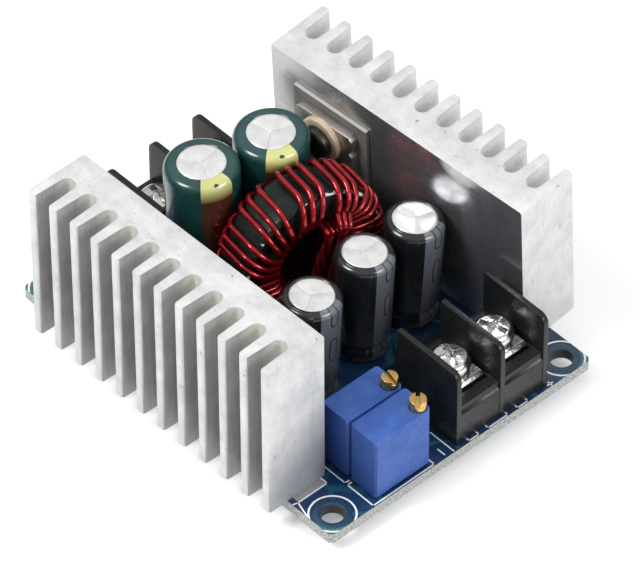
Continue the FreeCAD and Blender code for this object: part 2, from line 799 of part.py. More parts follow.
# Solder under the board, a fillet round each lead, run together where leads are close
fillets = []
for lead, clear in leads_through:
    b = clear.BoundBox
    reach = max(b.XLength, b.YLength) / 2 + solder_reach
    neck = reach - solder_reach + solder_neck
    fillet = turned([(neck, -solder_height), (reach, 0)], lead_sides)
    fillet.translate(Vector(b.Center.x, b.Center.y, 0))
    fillets.append(fillet)
solder = fillets[0].fuse(fillets[1:]).cut([lead for lead, clear in leads_through])
export("solder_joints", group(solder.Solids))
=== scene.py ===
import json
import math
import random

import bmesh
import bpy
from mathutils import Matrix, Vector


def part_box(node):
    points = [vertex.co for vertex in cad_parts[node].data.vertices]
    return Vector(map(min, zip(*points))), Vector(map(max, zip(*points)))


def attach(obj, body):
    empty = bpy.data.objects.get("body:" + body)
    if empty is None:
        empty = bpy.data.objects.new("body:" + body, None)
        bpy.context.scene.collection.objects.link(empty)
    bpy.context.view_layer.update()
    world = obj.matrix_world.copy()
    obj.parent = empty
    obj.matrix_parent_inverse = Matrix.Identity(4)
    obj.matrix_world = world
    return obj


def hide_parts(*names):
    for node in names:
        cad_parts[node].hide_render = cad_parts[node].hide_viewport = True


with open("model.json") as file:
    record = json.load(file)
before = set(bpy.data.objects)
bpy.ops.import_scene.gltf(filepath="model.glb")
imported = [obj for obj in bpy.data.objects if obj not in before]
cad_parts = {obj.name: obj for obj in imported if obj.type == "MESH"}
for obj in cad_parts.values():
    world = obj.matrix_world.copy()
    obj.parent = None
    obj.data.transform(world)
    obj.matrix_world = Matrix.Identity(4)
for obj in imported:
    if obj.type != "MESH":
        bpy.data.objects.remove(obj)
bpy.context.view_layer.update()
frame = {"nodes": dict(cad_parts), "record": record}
print("frame loaded:", len(frame["nodes"]), "nodes")

# lengths below are in millimetres, and go through this on their way into a mesh
mm = 0.001
bodyOf = {}
for bodyName, nodeNames in frame["record"]["behaviour"]["bodies"].items():
    for nodeName in nodeNames:
        bodyOf[nodeName] = bodyName
boardBody = bodyOf["circuit_board"]


# Shader helpers

def newMaterial(name, color, roughness, metallic=0.0, extra=None):
    material = bpy.data.materials.new(name)
    material.use_nodes = True
    shader = material.node_tree.nodes["Principled BSDF"]
    shader.inputs["Base Color"].default_value = (*color, 1)
    shader.inputs["Roughness"].default_value = roughness
    shader.inputs["Metallic"].default_value = metallic
    for socket, value in (extra or {}).items():
        shader.inputs[socket].default_value = value
    return material, material.node_tree, shader


class Signal:
    # a node's output, which takes plain arithmetic
    def __init__(self, node, output=0):
        self.tree = node.id_data
        self.socket = node.outputs[output]

    def __add__(self, other):
        return calc("ADD", self, other)

    def __sub__(self, other):
        return calc("SUBTRACT", self, other)

    def __rsub__(self, other):
        return calc("SUBTRACT", other, self)

    def __mul__(self, other):
        return calc("MULTIPLY", self, other)

    def __truediv__(self, other):
        return calc("DIVIDE", self, other)

    def __lt__(self, other):
        return calc("LESS_THAN", self, other)

    def __gt__(self, other):
        return calc("GREATER_THAN", self, other)

    def __abs__(self):
        return calc("ABSOLUTE", self)


def feed(socket, value):
    # a signal, a colour or a plain value
    if isinstance(value, Signal):
        value.tree.links.new(value.socket, socket)
    elif socket.type == "RGBA":
        socket.default_value = (*value, 1)
    else:
        socket.default_value = value


def addNode(tree, kind, **settings):
    # settings are the node's own, such as operation, or else go to its sockets
    node = tree.nodes.new(kind)
    for key, value in settings.items():
        if hasattr(node, key):
            setattr(node, key, value)
        else:
            feed(node.inputs[key.replace("_", " ")], value)
    return node


def calc(operation, a, b=0.0, clamp=False):
    tree = a.tree if isinstance(a, Signal) else b.tree
    node = addNode(tree, "ShaderNodeMath", operation=operation, use_clamp=clamp)
    feed(node.inputs[0], a)
    feed(node.inputs[1], b)
    return Signal(node)


def sumOfSquares(a, b):
    return a * a + b * b


def mapped(tree, **settings):
    source = Signal(tree.nodes.new("ShaderNodeTexCoord"), "Object")
    return Signal(addNode(tree, "ShaderNodeMapping", Vector=source, **settings))


def mmCoords(tree, stretch=(1, 1, 1), turn=(0, 0, 0)):
    # object coordinates in millimetres, so noise scales read per millimetre
    return mapped(tree, Scale=[1000 * s for s in stretch], Rotation=[math.radians(a) for a in turn])


def centredCoords(tree, place, turn=0.0, size=(1, 1, 1)):
    # object coordinates measured from a place on the piece, in steps of size millimetres
    return mapped(tree, vector_type="TEXTURE", Location=[c * mm for c in place],
                  Rotation=(0, 0, math.radians(turn)), Scale=[s * mm for s in size])


def xyz(vector):
    node = addNode(vector.tree, "ShaderNodeSeparateXYZ", Vector=vector)
    return [Signal(node, k) for k in range(3)]


def normalXyz(tree):
    return xyz(Signal(tree.nodes.new("ShaderNodeNewGeometry"), "Normal"))


def noise(coords, scale, detail=3.0, roughness=0.55):
    return Signal(addNode(coords.tree, "ShaderNodeTexNoise", Vector=coords, Scale=scale, Detail=detail,
                          Roughness=roughness), "Fac")


def cells(coords, scale, feature="F1"):
    return Signal(addNode(coords.tree, "ShaderNodeTexVoronoi", feature=feature, Vector=coords, Scale=scale), "Distance")


def span(value, low, high, outLow=0.0, outHigh=1.0):
    return Signal(addNode(value.tree, "ShaderNodeMapRange", Value=value, From_Min=low, From_Max=high,
                          To_Min=outLow, To_Max=outHigh), "Result")


def blendColor(factor, a, b):
    node = addNode(factor.tree, "ShaderNodeMix", data_type="RGBA", Factor=factor)
    feed(node.inputs[6], a)
    feed(node.inputs[7], b)
    return Signal(node, 2)


def addBump(shader, height, strength, distance):
    # laid over any bump that the shader has already
    tree = height.tree
    node = addNode(tree, "ShaderNodeBump", Strength=strength, Distance=distance * mm, Height=height)
    if shader.inputs["Normal"].is_linked:
        tree.links.new(shader.inputs["Normal"].links[0].from_socket, node.inputs["Normal"])
    tree.links.new(node.outputs["Normal"], shader.inputs["Normal"])


def paintWith(shader, **sockets):
    names = {"baseColor": "Base Color", "roughness": "Roughness", "metallic": "Metallic", "coat": "Coat Weight"}
    for key, signal in sockets.items():
        feed(shader.inputs[names[key]], signal)


def plainFinish(name, look):
    # a surface with mottled colour, uneven gloss and a fine grain
    material, tree, shader = newMaterial(name, look["color"], look["roughness"], look.get("metallic", 0.0),
                                         look.get("extra"))
    coords = mmCoords(tree)
    mottle = noise(coords, look.get("mottleScale", 0.4), 4.0)
    tint = blendColor(span(mottle, 0.35, 0.68), look["color"], look["other"])
    if "top" in look:
        # paler where the surface faces up
        tint = blendColor(span(normalXyz(tree)[2], 0.4, 0.8), tint, look["top"])
    wear = noise(coords, look.get("wearScale", 1.6), 5.0)
    spread = look.get("spread", 0.08)
    rough = span(wear, 0.3, 0.7, look["roughness"] - spread, look["roughness"] + spread)
    paintWith(shader, baseColor=tint, roughness=rough)
    grain = noise(coords, look.get("grainScale", 9.0), 2.0)
    addBump(shader, grain, look.get("grain", 0.15), look.get("depth", 0.05))
    return material


# Finishes that several pieces share

looks = {
    "silkscreen": {"color": (0.93, 0.96, 0.97), "other": (0.82, 0.86, 0.88), "roughness": 0.6,
                   "mottleScale": 1.5, "grain": 0.1},
    "raisedPad": {"color": (0.018, 0.060, 0.105), "other": (0.010, 0.036, 0.078), "roughness": 0.3, "grain": 0.08,
                  "extra": {"Coat Weight": 0.3}},
    "canAluminium": {"color": (0.78, 0.78, 0.775), "other": (0.66, 0.66, 0.655), "roughness": 0.36, "metallic": 0.4,
                     "mottleScale": 0.6, "grain": 0.1},
    "terminalBlack": {"color": (0.008, 0.009, 0.010), "other": (0.014, 0.015, 0.016), "roughness": 0.3,
                      "mottleScale": 0.25, "grainScale": 3.0, "grain": 0.12, "depth": 0.05,
                      "extra": {"Specular IOR Level": 0.33}},
    "caseBlack": {"color": (0.018, 0.018, 0.019), "other": (0.028, 0.028, 0.028), "roughness": 0.55, "grain": 0.4},
    "platedScrew": {"color": (0.74, 0.74, 0.73), "other": (0.60, 0.60, 0.58), "roughness": 0.2, "metallic": 1.0,
                    "grainScale": 1.1, "grain": 0.5, "depth": 0.12, "wearScale": 0.9, "spread": 0.1},
    "tinPlate": {"color": (0.70, 0.70, 0.69), "other": (0.56, 0.56, 0.55), "roughness": 0.28, "metallic": 1.0,
                 "grain": 0.2},
    "dullTin": {"color": (0.42, 0.42, 0.41), "other": (0.30, 0.30, 0.30), "roughness": 0.5, "metallic": 0.3,
                "grain": 0.2},
    "deviceTab": {"color": (0.52, 0.49, 0.45), "other": (0.40, 0.37, 0.34), "roughness": 0.34, "metallic": 0.9,
                  "grain": 0.2},
    "brass": {"color": (0.70, 0.47, 0.17), "other": (0.58, 0.37, 0.12), "roughness": 0.24, "metallic": 1.0,
              "mottleScale": 1.2, "grainScale": 3.0, "grain": 0.2},
    "bushNylon": {"color": (0.66, 0.55, 0.40), "other": (0.50, 0.39, 0.27), "roughness": 0.45, "grain": 0.1,
                  "extra": {"Subsurface Weight": 0.1, "Subsurface Scale": 0.001}},
    "screwSteel": {"color": (0.085, 0.080, 0.078), "other": (0.045, 0.042, 0.042), "roughness": 0.34, "metallic": 0.9,
                   "grain": 0.2},
    "padGrey": {"color": (0.17, 0.165, 0.155), "other": (0.11, 0.107, 0.10), "roughness": 0.55, "grainScale": 4.0,
                "grain": 0.3, "top": (0.50, 0.47, 0.44)},
    "solder": {"color": (0.70, 0.70, 0.71), "other": (0.55, 0.55, 0.56), "roughness": 0.26, "metallic": 1.0,
               "grain": 0.2},
    "ceramic": {"color": (0.015, 0.015, 0.016), "other": (0.030, 0.030, 0.030), "roughness": 0.3, "grain": 0.1},
    "lampResin": {"color": (0.75, 0.73, 0.62), "other": (0.60, 0.58, 0.48), "roughness": 0.15, "grain": 0.05,
                  "extra": {"Transmission Weight": 0.4}},
}
finishes = {name: plainFinish(name, look) for name, look in looks.items()}
print("finishes made:", len(finishes))


# Mesh helpers

def addObject(name, mesh, material=None):
    obj = bpy.data.objects.new(name, mesh)
    bpy.context.scene.collection.objects.link(obj)
    if material is not None and not mesh.materials:
        mesh.materials.append(material)
    return obj


def turnZ(angle):
    return Matrix.Rotation(math.radians(angle), 4, "Z")


def meshFrom(bm, name):
    mesh = bpy.data.meshes.new(name)
    bm.to_mesh(mesh)
    bm.free()
    return mesh


def smoothMesh(mesh, angle=38):
    for face in mesh.polygons:
        face.use_smooth = True
    mesh.set_sharp_from_angle(angle=math.radians(angle))


def baked(obj):
    # the evaluated shape as a plain mesh, with its modifiers gone
    depsgraph = bpy.context.evaluated_depsgraph_get()
    mesh = bpy.data.meshes.new_from_object(obj.evaluated_get(depsgraph))
    obj.modifiers.clear()
    obj.data = mesh
    return mesh


def bevelSharp(mesh, width, angle=35):
    bm = bmesh.new()
    bm.from_mesh(mesh)
    sharp = [e for e in bm.edges if len(e.link_faces) == 2 and e.calc_face_angle(0) > math.radians(angle)]
    bmesh.ops.bevel(bm, geom=sharp, offset=width * mm, segments=2, profile=0.6, affect="EDGES", clamp_overlap=True)
    bm.to_mesh(mesh)
    bm.free()


def settle(obj, nodeName):
    # the piece rides on its node's body and takes that node's place
    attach(obj, bodyOf[nodeName])
    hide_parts(nodeName)


def dressNode(nodeName, finish, bevel=0.08, angle=35):
    # a CAD node merged into whole faces, with its edges broken a little
    bm = bmesh.new()
    bm.from_mesh(frame["nodes"][nodeName].data)
    bmesh.ops.remove_doubles(bm, verts=bm.verts, dist=2e-6)
    bmesh.ops.dissolve_limit(bm, angle_limit=math.radians(0.6), verts=bm.verts, edges=bm.edges)
    mesh = meshFrom(bm, nodeName + ".look")
    obj = addObject(nodeName + ".dressed", mesh, finishes[finish])
    if bevel:
        bevelSharp(mesh, bevel, angle)
    smoothMesh(mesh)
    settle(obj, nodeName)


def latheMesh(name, profile, segments, closed=False, wrapRadius=1.0):
    # turns (radius, height) points about Z, and lays a wrap map in millimetres over the surface
    bm = bmesh.new()
    rings = []
    for r, z in profile:
        if r < 1e-6:
            rings.append([bm.verts.new((0, 0, z * mm))])
        else:
            rings.append([bm.verts.new((r * math.cos(a) * mm, r * math.sin(a) * mm, z * mm))
                          for a in (2 * math.pi * k / segments for k in range(segments))])
    heights = [z for r, z in profile]
    bands = list(zip(rings, rings[1:], heights, heights[1:]))
    if closed:
        bands.append((rings[-1], rings[0], heights[-1], heights[0]))
    wrap = bm.loops.layers.uv.new("wrap")
    for low, high, zLow, zHigh in bands:
        for k in range(segments):
            m = (k + 1) % segments
            if len(low) == 1:
                corners = [(low[0], k, zLow), (high[m], k + 1, zHigh), (high[k], k, zHigh)]
            elif len(high) == 1:
                corners = [(low[k], k, zLow), (low[m], k + 1, zLow), (high[0], k, zHigh)]
            else:
                corners = [(low[k], k, zLow), (low[m], k + 1, zLow), (high[m], k + 1, zHigh), (high[k], k, zHigh)]
            face = bm.faces.new([c[0] for c in corners])
            for loop, (vert, step, z) in zip(face.loops, corners):
                turn = 2 * math.pi * step / segments - math.pi   # the stripe faces away from the seam
                loop[wrap].uv = (turn * wrapRadius, z)
    bmesh.ops.recalc_face_normals(bm, faces=bm.faces)
    return meshFrom(bm, name)


def carve(obj, cutterMesh):
    # takes one closed shape out of an object, and gives back its new mesh
    cutter = addObject(obj.name + ".cutter", cutterMesh)
    cut = obj.modifiers.new("cut", "BOOLEAN")
    cut.operation = "DIFFERENCE"
    cut.solver = "EXACT"
    cut.object = cutter
    mesh = baked(obj)
    bpy.data.objects.remove(cutter)
    return mesh


def boxMesh(name, xs, ys, zs, turn=0.0):
    # a box between two values on each axis, turned about Z
    bm = bmesh.new()
    corners = [bm.verts.new(turnZ(turn) @ Vector((x * mm, y * mm, z * mm))) for x in xs for y in ys for z in zs]
    for face in ((0, 1, 3, 2), (4, 6, 7, 5), (0, 4, 5, 1), (2, 3, 7, 6), (0, 2, 6, 4), (1, 5, 7, 3)):
        bm.faces.new([corners[i] for i in face])
    bmesh.ops.recalc_face_normals(bm, faces=bm.faces)
    return meshFrom(bm, name)


# Node tree helpers

def newTree(name, sockets):
    # a tree with named inputs: numbers with what they start at, or else an object
    kinds = {float: "NodeSocketFloat", int: "NodeSocketInt", type(None): "NodeSocketObject"}
    tree = bpy.data.node_groups.new(name, "GeometryNodeTree")
    tree.interface.new_socket("Geometry", in_out="INPUT", socket_type="NodeSocketGeometry")
    for label, value in sockets.items():
        socket = tree.interface.new_socket(label, in_out="INPUT", socket_type=kinds[type(value)])
        if value is not None:
            socket.default_value = value
    tree.interface.new_socket("Geometry", in_out="OUTPUT", socket_type="NodeSocketGeometry")
    inputs = tree.nodes.new("NodeGroupInput")
    outputs = tree.nodes.new("NodeGroupOutput")
    return tree, inputs, outputs


def joinUp(tree, links):
    for a, output, b, socket in links:
        tree.links.new(a.outputs[output], b.inputs[socket])


def finishTree(tree, last, lastSocket, outputs, material):
    realize = tree.nodes.new("GeometryNodeRealizeInstances")
    paint = tree.nodes.new("GeometryNodeSetMaterial")
    paint.inputs["Material"].default_value = material
    joinUp(tree, [(last, lastSocket, realize, 0), (realize, 0, paint, "Geometry"), (paint, 0, outputs, 0)])


def grow(obj, tree, values):
    modifier = obj.modifiers.new("grow", "NODES")
    modifier.node_group = tree
    ids = {item.name: item.identifier for item in tree.interface.items_tree if item.in_out == "INPUT"}
    for label, value in values.items():
        modifier[ids[label]] = value
    return baked(obj)


# Circuit board

board = {"length": 60.0, "width": 45.8, "top": 1.6, "holeInset": 2.75, "boreReach": 2.0, "copperEnd": 50.3,
         "ringRadius": 3.07, "ringLine": 0.13, "padInner": 1.62, "padOuter": 2.55,
         "markLine": 0.2, "markSunk": 0.01, "markHeight": 0.03, "printMargin": 0.04}
board["holeX"] = board["length"] / 2 - board["holeInset"]
board["holeY"] = board["width"] / 2 - board["holeInset"]


def makeBoardMask():
    # blue mask on the faces, speckled laminate on the cut edges
    look = {"navy": (0.005, 0.018, 0.060), "blue": (0.009, 0.040, 0.115), "bare": (0.025, 0.13, 0.16),
            "laminate": (0.56, 0.57, 0.55), "speck": (0.17, 0.19, 0.18), "bore": (0.020, 0.026, 0.026)}
    material, tree, shader = newMaterial("boardMask", look["navy"], 0.3, 0.0,
                                         {"Coat Weight": 0.35, "Coat Roughness": 0.12})
    coords = mmCoords(tree)
    x, y, z = xyz(coords)
    mask = blendColor(span(noise(coords, 0.12, 3.0), 0.4, 0.62), look["navy"], look["blue"])
    gaps = cells(coords, 0.11, "DISTANCE_TO_EDGE")
    mask = blendColor(span(gaps, 0.02, 0.035, 0.55, 0.0), mask, look["bare"])
    # the mask is greener past the copper at the four corners
    mask = blendColor(span(abs(x) + abs(y), board["copperEnd"], board["copperEnd"] + 0.3), mask, look["bare"])
    specks = noise(coords, 2.8, 6.0, 0.8)
    laminate = blendColor(span(specks, 0.42, 0.62), look["laminate"], look["speck"])
    # the mounting holes' walls are dark
    fromHole = sumOfSquares(abs(x) - board["holeX"], abs(y) - board["holeY"])
    laminate = blendColor(fromHole < board["boreReach"] ** 2, laminate, look["bore"])
    edge = abs(normalXyz(tree)[2]) < 0.5
    paintWith(shader, baseColor=blendColor(edge, mask, laminate), roughness=span(edge, 0, 1, 0.28, 0.85))
    addBump(shader, noise(mmCoords(tree, (1.0, 6.0, 1.0)), 1.2, 2.0), 0.12, 0.04)
    return material


def makeRingTree():
    # one flat ring at each corner of a rectangle
    tree, inputs, outputs = newTree("cornerRings", {"Spacing X": 0.05, "Spacing Y": 0.04, "Radius": 0.003,
                                                    "Line": 0.0001, "Height": 0.0016})
    grid = addNode(tree, "GeometryNodeMeshGrid", Vertices_X=2, Vertices_Y=2)
    lift = addNode(tree, "GeometryNodeTransform")
    place = addNode(tree, "ShaderNodeCombineXYZ")
    ring = addNode(tree, "GeometryNodeCurvePrimitiveCircle", Resolution=96)
    section = addNode(tree, "GeometryNodeCurvePrimitiveCircle", Resolution=8)
    sweep = addNode(tree, "GeometryNodeCurveToMesh")
    flatten = addNode(tree, "GeometryNodeTransform", Scale=(1, 1, 0.12))
    spread = addNode(tree, "GeometryNodeInstanceOnPoints")
    joinUp(tree, [
        (inputs, "Spacing X", grid, "Size X"),
        (inputs, "Spacing Y", grid, "Size Y"),
        (inputs, "Height", place, "Z"),
        (grid, "Mesh", lift, "Geometry"),
        (place, 0, lift, "Translation"),
        (inputs, "Radius", ring, "Radius"),
        (inputs, "Line", section, "Radius"),
        (ring, "Curve", sweep, "Curve"),
        (section, "Curve", sweep, "Profile Curve"),
        (sweep, "Mesh", flatten, "Geometry"),
        (lift, "Geometry", spread, "Points"),
        (flatten, "Geometry", spread, "Instance")])
    finishTree(tree, spread, "Instances", outputs, finishes["silkscreen"])
    return tree


def clipToBoard(mesh):
    # print stops just short of the board's cut edges
    bm = bmesh.new()
    bm.from_mesh(mesh)
    reachX = (board["length"] / 2 - board["printMargin"]) * mm
    reachY = (board["width"] / 2 - board["printMargin"]) * mm
    for limit in (Vector((-reachX, 0, 0)), Vector((reachX, 0, 0)), Vector((0, -reachY, 0)), Vector((0, reachY, 0))):
        bmesh.ops.bisect_plane(bm, geom=bm.verts[:] + bm.edges[:] + bm.faces[:], plane_co=limit,
                               plane_no=limit.normalized(), clear_outer=True)
        bmesh.ops.holes_fill(bm, edges=[e for e in bm.edges if e.is_boundary], sides=0)
    bm.to_mesh(mesh)
    bm.free()


def layOnBoard(obj):
    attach(obj, boardBody)


def addRings():
    tree = makeRingTree()
    spacing = {"Spacing X": 2 * board["holeX"] * mm, "Spacing Y": 2 * board["holeY"] * mm, "Height": board["top"] * mm}
    middle = (board["padInner"] + board["padOuter"]) / 2
    for name, radius, line, finish in (("holeRings", board["ringRadius"], board["ringLine"], "silkscreen"),
                                       ("holePads", middle, board["padOuter"] - middle, "raisedPad")):
        obj = addObject(name, bpy.data.meshes.new(name))
        mesh = grow(obj, tree, {**spacing, "Radius": radius * mm, "Line": line * mm})
        mesh.materials.clear()
        mesh.materials.append(finishes[finish])
        clipToBoard(mesh)
        smoothMesh(mesh)
        layOnBoard(obj)


def addBoardMarks():
    # printed outlines round the parts, as flat lines a hair above the mask
    trimmers = [((19.0, -15.4), (24.44, -15.4)), ((24.44, -15.4), (24.44, -14.75)), ((24.9, -15.4), (24.9, -14.75)),
                ((24.9, -15.4), (29.75, -15.4)), ((29.75, -15.4), (29.75, -4.8)), ((26.9, -4.8), (29.75, -4.8))]
    signs = [((29.4, -2.7), (28.2, -2.7)), ((29.2, 15.9), (29.9, 15.9)), ((29.55, 15.5), (29.55, 16.3))]
    terminal = [((25.4, -1.39), (29.75, -1.39))]
    for low, high in ((1.3, 3.0), (4.65, 8.1), (9.9, 11.7)):   # one bracket at each contact
        terminal += [((29.3, low), (29.8, low)), ((29.8, low), (29.8, high)), ((29.3, high), (29.8, high))]
    sinkFoot = [((20.5, -17.1), (22.9, -17.1)), ((22.9, -17.1), (22.9, -22.1)), ((22.9, -22.1), (25.4, -22.83)),
                ((22.9, -22.1), (22.72, -22.8))]
    half = board["markLine"] / 2
    z0 = board["top"] - board["markSunk"]
    z1 = board["top"] + board["markHeight"]
    bm = bmesh.new()
    for (ax, ay), (bx, by) in trimmers + signs + terminal + sinkFoot:
        along = Vector((bx - ax, by - ay, 0)).normalized() * half
        side = Vector((-along.y, along.x, 0))
        a = Vector((ax, ay, 0)) - along
        b = Vector((bx, by, 0)) + along
        corners = [a - side, b - side, b + side, a + side]
        low = [bm.verts.new((c.x * mm, c.y * mm, z0 * mm)) for c in corners]
        high = [bm.verts.new((c.x * mm, c.y * mm, z1 * mm)) for c in corners]
        bm.faces.new(high)
        bm.faces.new(low[::-1])
        for k in range(4):
            m = (k + 1) % 4
            bm.faces.new([low[k], low[m], high[m], high[k]])
    mesh = meshFrom(bm, "printedLines")
    clipToBoard(mesh)
    layOnBoard(addObject("printedLines", mesh, finishes["silkscreen"]))
    # tinned strip that shows past the left heatsink's end
    strip = boxMesh("tinnedStrip", (21.0, 22.8), (-22.0, -17.2), (z0, z1 - board["markSunk"]))
    layOnBoard(addObject("tinnedStrip", strip, finishes["dullTin"]))


finishes["boardMask"] = makeBoardMask()
dressNode("circuit_board", "boardMask", 0.06)
addRings()
addBoardMarks()
print("board done")


# Heatsinks

sink = {"fins": 12, "pitch": 3.96, "finTip": 1.45, "finRoot": 1.75, "tipRound": 0.45, "depth": 9.77, "base": 4.19,
        "height": 25.5, "edge": 0.18, "gap": 33.4, "foot": 1.6,
        "leftX": -0.77, "leftTurn": 0.9, "rightX": 0.14, "rightTurn": 3.0, "rightLean": 2.7}


def makeSinkMetal():
    # sawn across the ends, drawn along the height, nicked and a little cloudy
    look = {"pale": (0.76, 0.76, 0.76), "grey": (0.58, 0.585, 0.59), "nick": (0.16, 0.16, 0.165),
            "endShade": (0.27, 0.285, 0.33)}
    material, tree, shader = newMaterial("sawnAluminium", look["pale"], 0.45, 0.25)
    coords = mmCoords(tree)
    x, y, z = xyz(coords)
    nx, ny, nz = normalXyz(tree)
    top = abs(nz) > 0.7
    drawn = noise(mmCoords(tree, (2.2, 2.2, 0.25)), 1.1, 5.0, 0.6)
    sawn = noise(mmCoords(tree, (0.5, 2.0, 1.0), (0, 0, 28)), 1.5, 6.0, 0.7)
    marks = drawn * (1.0 - top) + sawn * top
    worn = marks * 0.6 + noise(coords, 0.28, 5.0, 0.65) * 1.4
    tint = blendColor(span(worn, 0.75, 1.25), look["grey"], look["pale"])
    nicks = span(noise(mmCoords(tree, (1.0, 1.0, 0.55)), 1.05, 6.0, 0.7), 0.645, 0.70)
    tint = blendColor(nicks * 0.7, tint, look["nick"])
    specks = span(noise(coords, 3.4, 3.0, 0.6), 0.66, 0.74)
    tint = blendColor(specks * 0.35, tint, look["nick"])
    # painted shade, with a bluish painted reflection of the trimmer, on the left heatsink's end towards its foot
    foot = span(z + y * -0.5, 26.0, 16.0) * (nx > 0.7) * (y < 0.0)
    tint = blendColor(foot * 0.75, tint, look["endShade"])
    paintWith(shader, baseColor=tint, roughness=span(marks, 0.3, 0.75, 0.38, 0.62))
    addBump(shader, marks, 0.35, 0.06)
    addBump(shader, nicks, 0.5, -0.1)
    return material


def makeSlotMetal():
    # painted shade on the walls between fins, with drawn lines, paler at the root near the sawn top
    look = {"slotShade": (0.37, 0.37, 0.365), "pale": (0.50, 0.50, 0.495), "root": (0.68, 0.68, 0.62),
            "rootFrom": -23.4, "rootTo": -21.2, "topFrom": 14.0, "topTo": 25.0}
    material, tree, shader = newMaterial("drawnSlot", look["slotShade"], 0.5, 0.3)
    coords = mmCoords(tree)
    x, y, z = xyz(coords)
    lines = noise(mmCoords(tree, (3.0, 3.0, 0.1)), 1.2, 5.0, 0.6)
    worn = lines + noise(coords, 0.3, 4.0)
    tint = blendColor(span(worn, 0.8, 1.25), look["slotShade"], look["pale"])
    root = span(y, look["rootFrom"], look["rootTo"]) * span(z, look["topFrom"], look["topTo"], 0.0, 0.9)
    paintWith(shader, baseColor=blendColor(root, tint, look["root"]), roughness=span(lines, 0.3, 0.7, 0.42, 0.6))
    addBump(shader, lines, 0.2, 0.04)
    return material


def makeInnerFace():
    # the smooth inner face of a heatsink, bright enough to mirror the coil
    look = {"metal": (0.37, 0.375, 0.395), "pale": (0.50, 0.50, 0.50), "paintedHighlight": (0.85, 0.85, 0.85),
            "highlightAt": (11.6, 0.0, 26.9), "highlightSize": (1 / 0.3, 1.0, 1 / 0.5), "paleFrom": -14.0, "paleTo": -22.0}
    material, tree, shader = newMaterial("milledFace", look["metal"], 0.28, 0.85)
    coords = mmCoords(tree)
    x, y, z = xyz(coords)
    marks = noise(mmCoords(tree, (0.35, 2.2, 2.2)), 0.8, 4.0, 0.55)
    cloud = noise(coords, 0.2, 4.0)
    # a painted highlight, a bright patch at the right one's top edge
    highlightX, highlightY, highlightZ = xyz(centredCoords(tree, look["highlightAt"], size=look["highlightSize"]))
    ragged = sumOfSquares(highlightX, highlightZ) + (noise(coords, 0.7, 4.0) - 0.5) * 0.9
    patch = span(ragged, 0.0, 1.1, 1.0, 0.0) * span(y, 0, 1)
    # paler towards the device's end
    end = span(x, look["paleTo"], look["paleFrom"], 1.0, 0.0)
    pale = calc("ADD", span(cloud, 0.38, 0.62) * 0.4, end, True)
    tint = blendColor(pale, look["metal"], look["pale"])
    tint = blendColor(patch * 0.9, tint, look["paintedHighlight"])
    paintWith(shader, baseColor=tint, roughness=span(marks, 0.3, 0.7, 0.19, 0.28) + patch * 0.3,
              metallic=span(patch, 0, 1, 0.85, 0.1))
    addBump(shader, marks, 0.05, 0.02)
    return material


def outlineMesh(name, points):
    mesh = bpy.data.meshes.new(name)
    mesh.from_pydata([(x * mm, y * mm, 0) for x, y in points], [(k, k + 1) for k in range(len(points) - 1)], [])
    return mesh


def makeSinkTree():
    # slot outlines in a row, closed by the end outline, filled and drawn up to the height
    tree, inputs, outputs = newTree("finnedExtrusion", {"Slot Outline": None, "Slots": 11, "Pitch": 0.004,
                                                        "Height": 0.025})
    info = addNode(tree, "GeometryNodeObjectInfo")
    line = addNode(tree, "GeometryNodeMeshLine")
    start = addNode(tree, "ShaderNodeCombineXYZ")
    step = addNode(tree, "ShaderNodeCombineXYZ")
    fewer = addNode(tree, "ShaderNodeMath", operation="SUBTRACT")
    fewer.inputs[1].default_value = 1
    whole = addNode(tree, "ShaderNodeMath", operation="MULTIPLY")
    offset = addNode(tree, "ShaderNodeMath", operation="MULTIPLY")
    offset.inputs[1].default_value = -0.5
    row = addNode(tree, "GeometryNodeInstanceOnPoints")
    realize = addNode(tree, "GeometryNodeRealizeInstances")
    join = addNode(tree, "GeometryNodeJoinGeometry")
    weld = addNode(tree, "GeometryNodeMergeByDistance", Distance=1e-5)
    curve = addNode(tree, "GeometryNodeMeshToCurve")
    fill = addNode(tree, "GeometryNodeFillCurve", mode="NGONS")
    extrude = addNode(tree, "GeometryNodeExtrudeMesh", Individual=False)
    up = addNode(tree, "ShaderNodeCombineXYZ", Z=1.0)
    flip = addNode(tree, "GeometryNodeFlipFaces")
    close = addNode(tree, "GeometryNodeJoinGeometry")
    seal = addNode(tree, "GeometryNodeMergeByDistance", Distance=1e-5)
    joinUp(tree, [
        (inputs, "Slot Outline", info, "Object"),
        (inputs, "Slots", line, "Count"),
        (inputs, "Slots", fewer, 0),
        (fewer, 0, whole, 0),
        (inputs, "Pitch", whole, 1),
        (whole, 0, offset, 0),
        (offset, 0, start, "X"),
        (inputs, "Pitch", step, "X"),
        (start, 0, line, "Start Location"),
        (step, 0, line, "Offset"),
        (line, "Mesh", row, "Points"),
        (info, "Geometry", row, "Instance"),
        (row, "Instances", realize, 0),
        (realize, 0, join, 0),
        (inputs, "Geometry", join, 0),
        (join, 0, weld, 0),
        (weld, 0, curve, "Mesh"),
        (curve, "Curve", fill, "Curve"),
        (fill, "Mesh", extrude, "Mesh"),
        (up, 0, extrude, "Offset"),
        (inputs, "Height", extrude, "Offset Scale"),
        (fill, "Mesh", flip, "Mesh"),
        (extrude, "Mesh", close, 0),
        (flip, "Mesh", close, 0),
        (close, 0, seal, 0)])
    finishTree(tree, seal, 0, outputs, finishes["sinkMetal"])
    return tree


def tipCorner(x, side):
    # the rounded corner of a fin's tip, whose flank lies at x
    r = sink["tipRound"]
    angles = [math.pi / 2 * k / 4 for k in range(5)]
    return [(x - side * r * (1 - math.sin(a)), sink["depth"] - r * (1 - math.cos(a))) for a in angles]


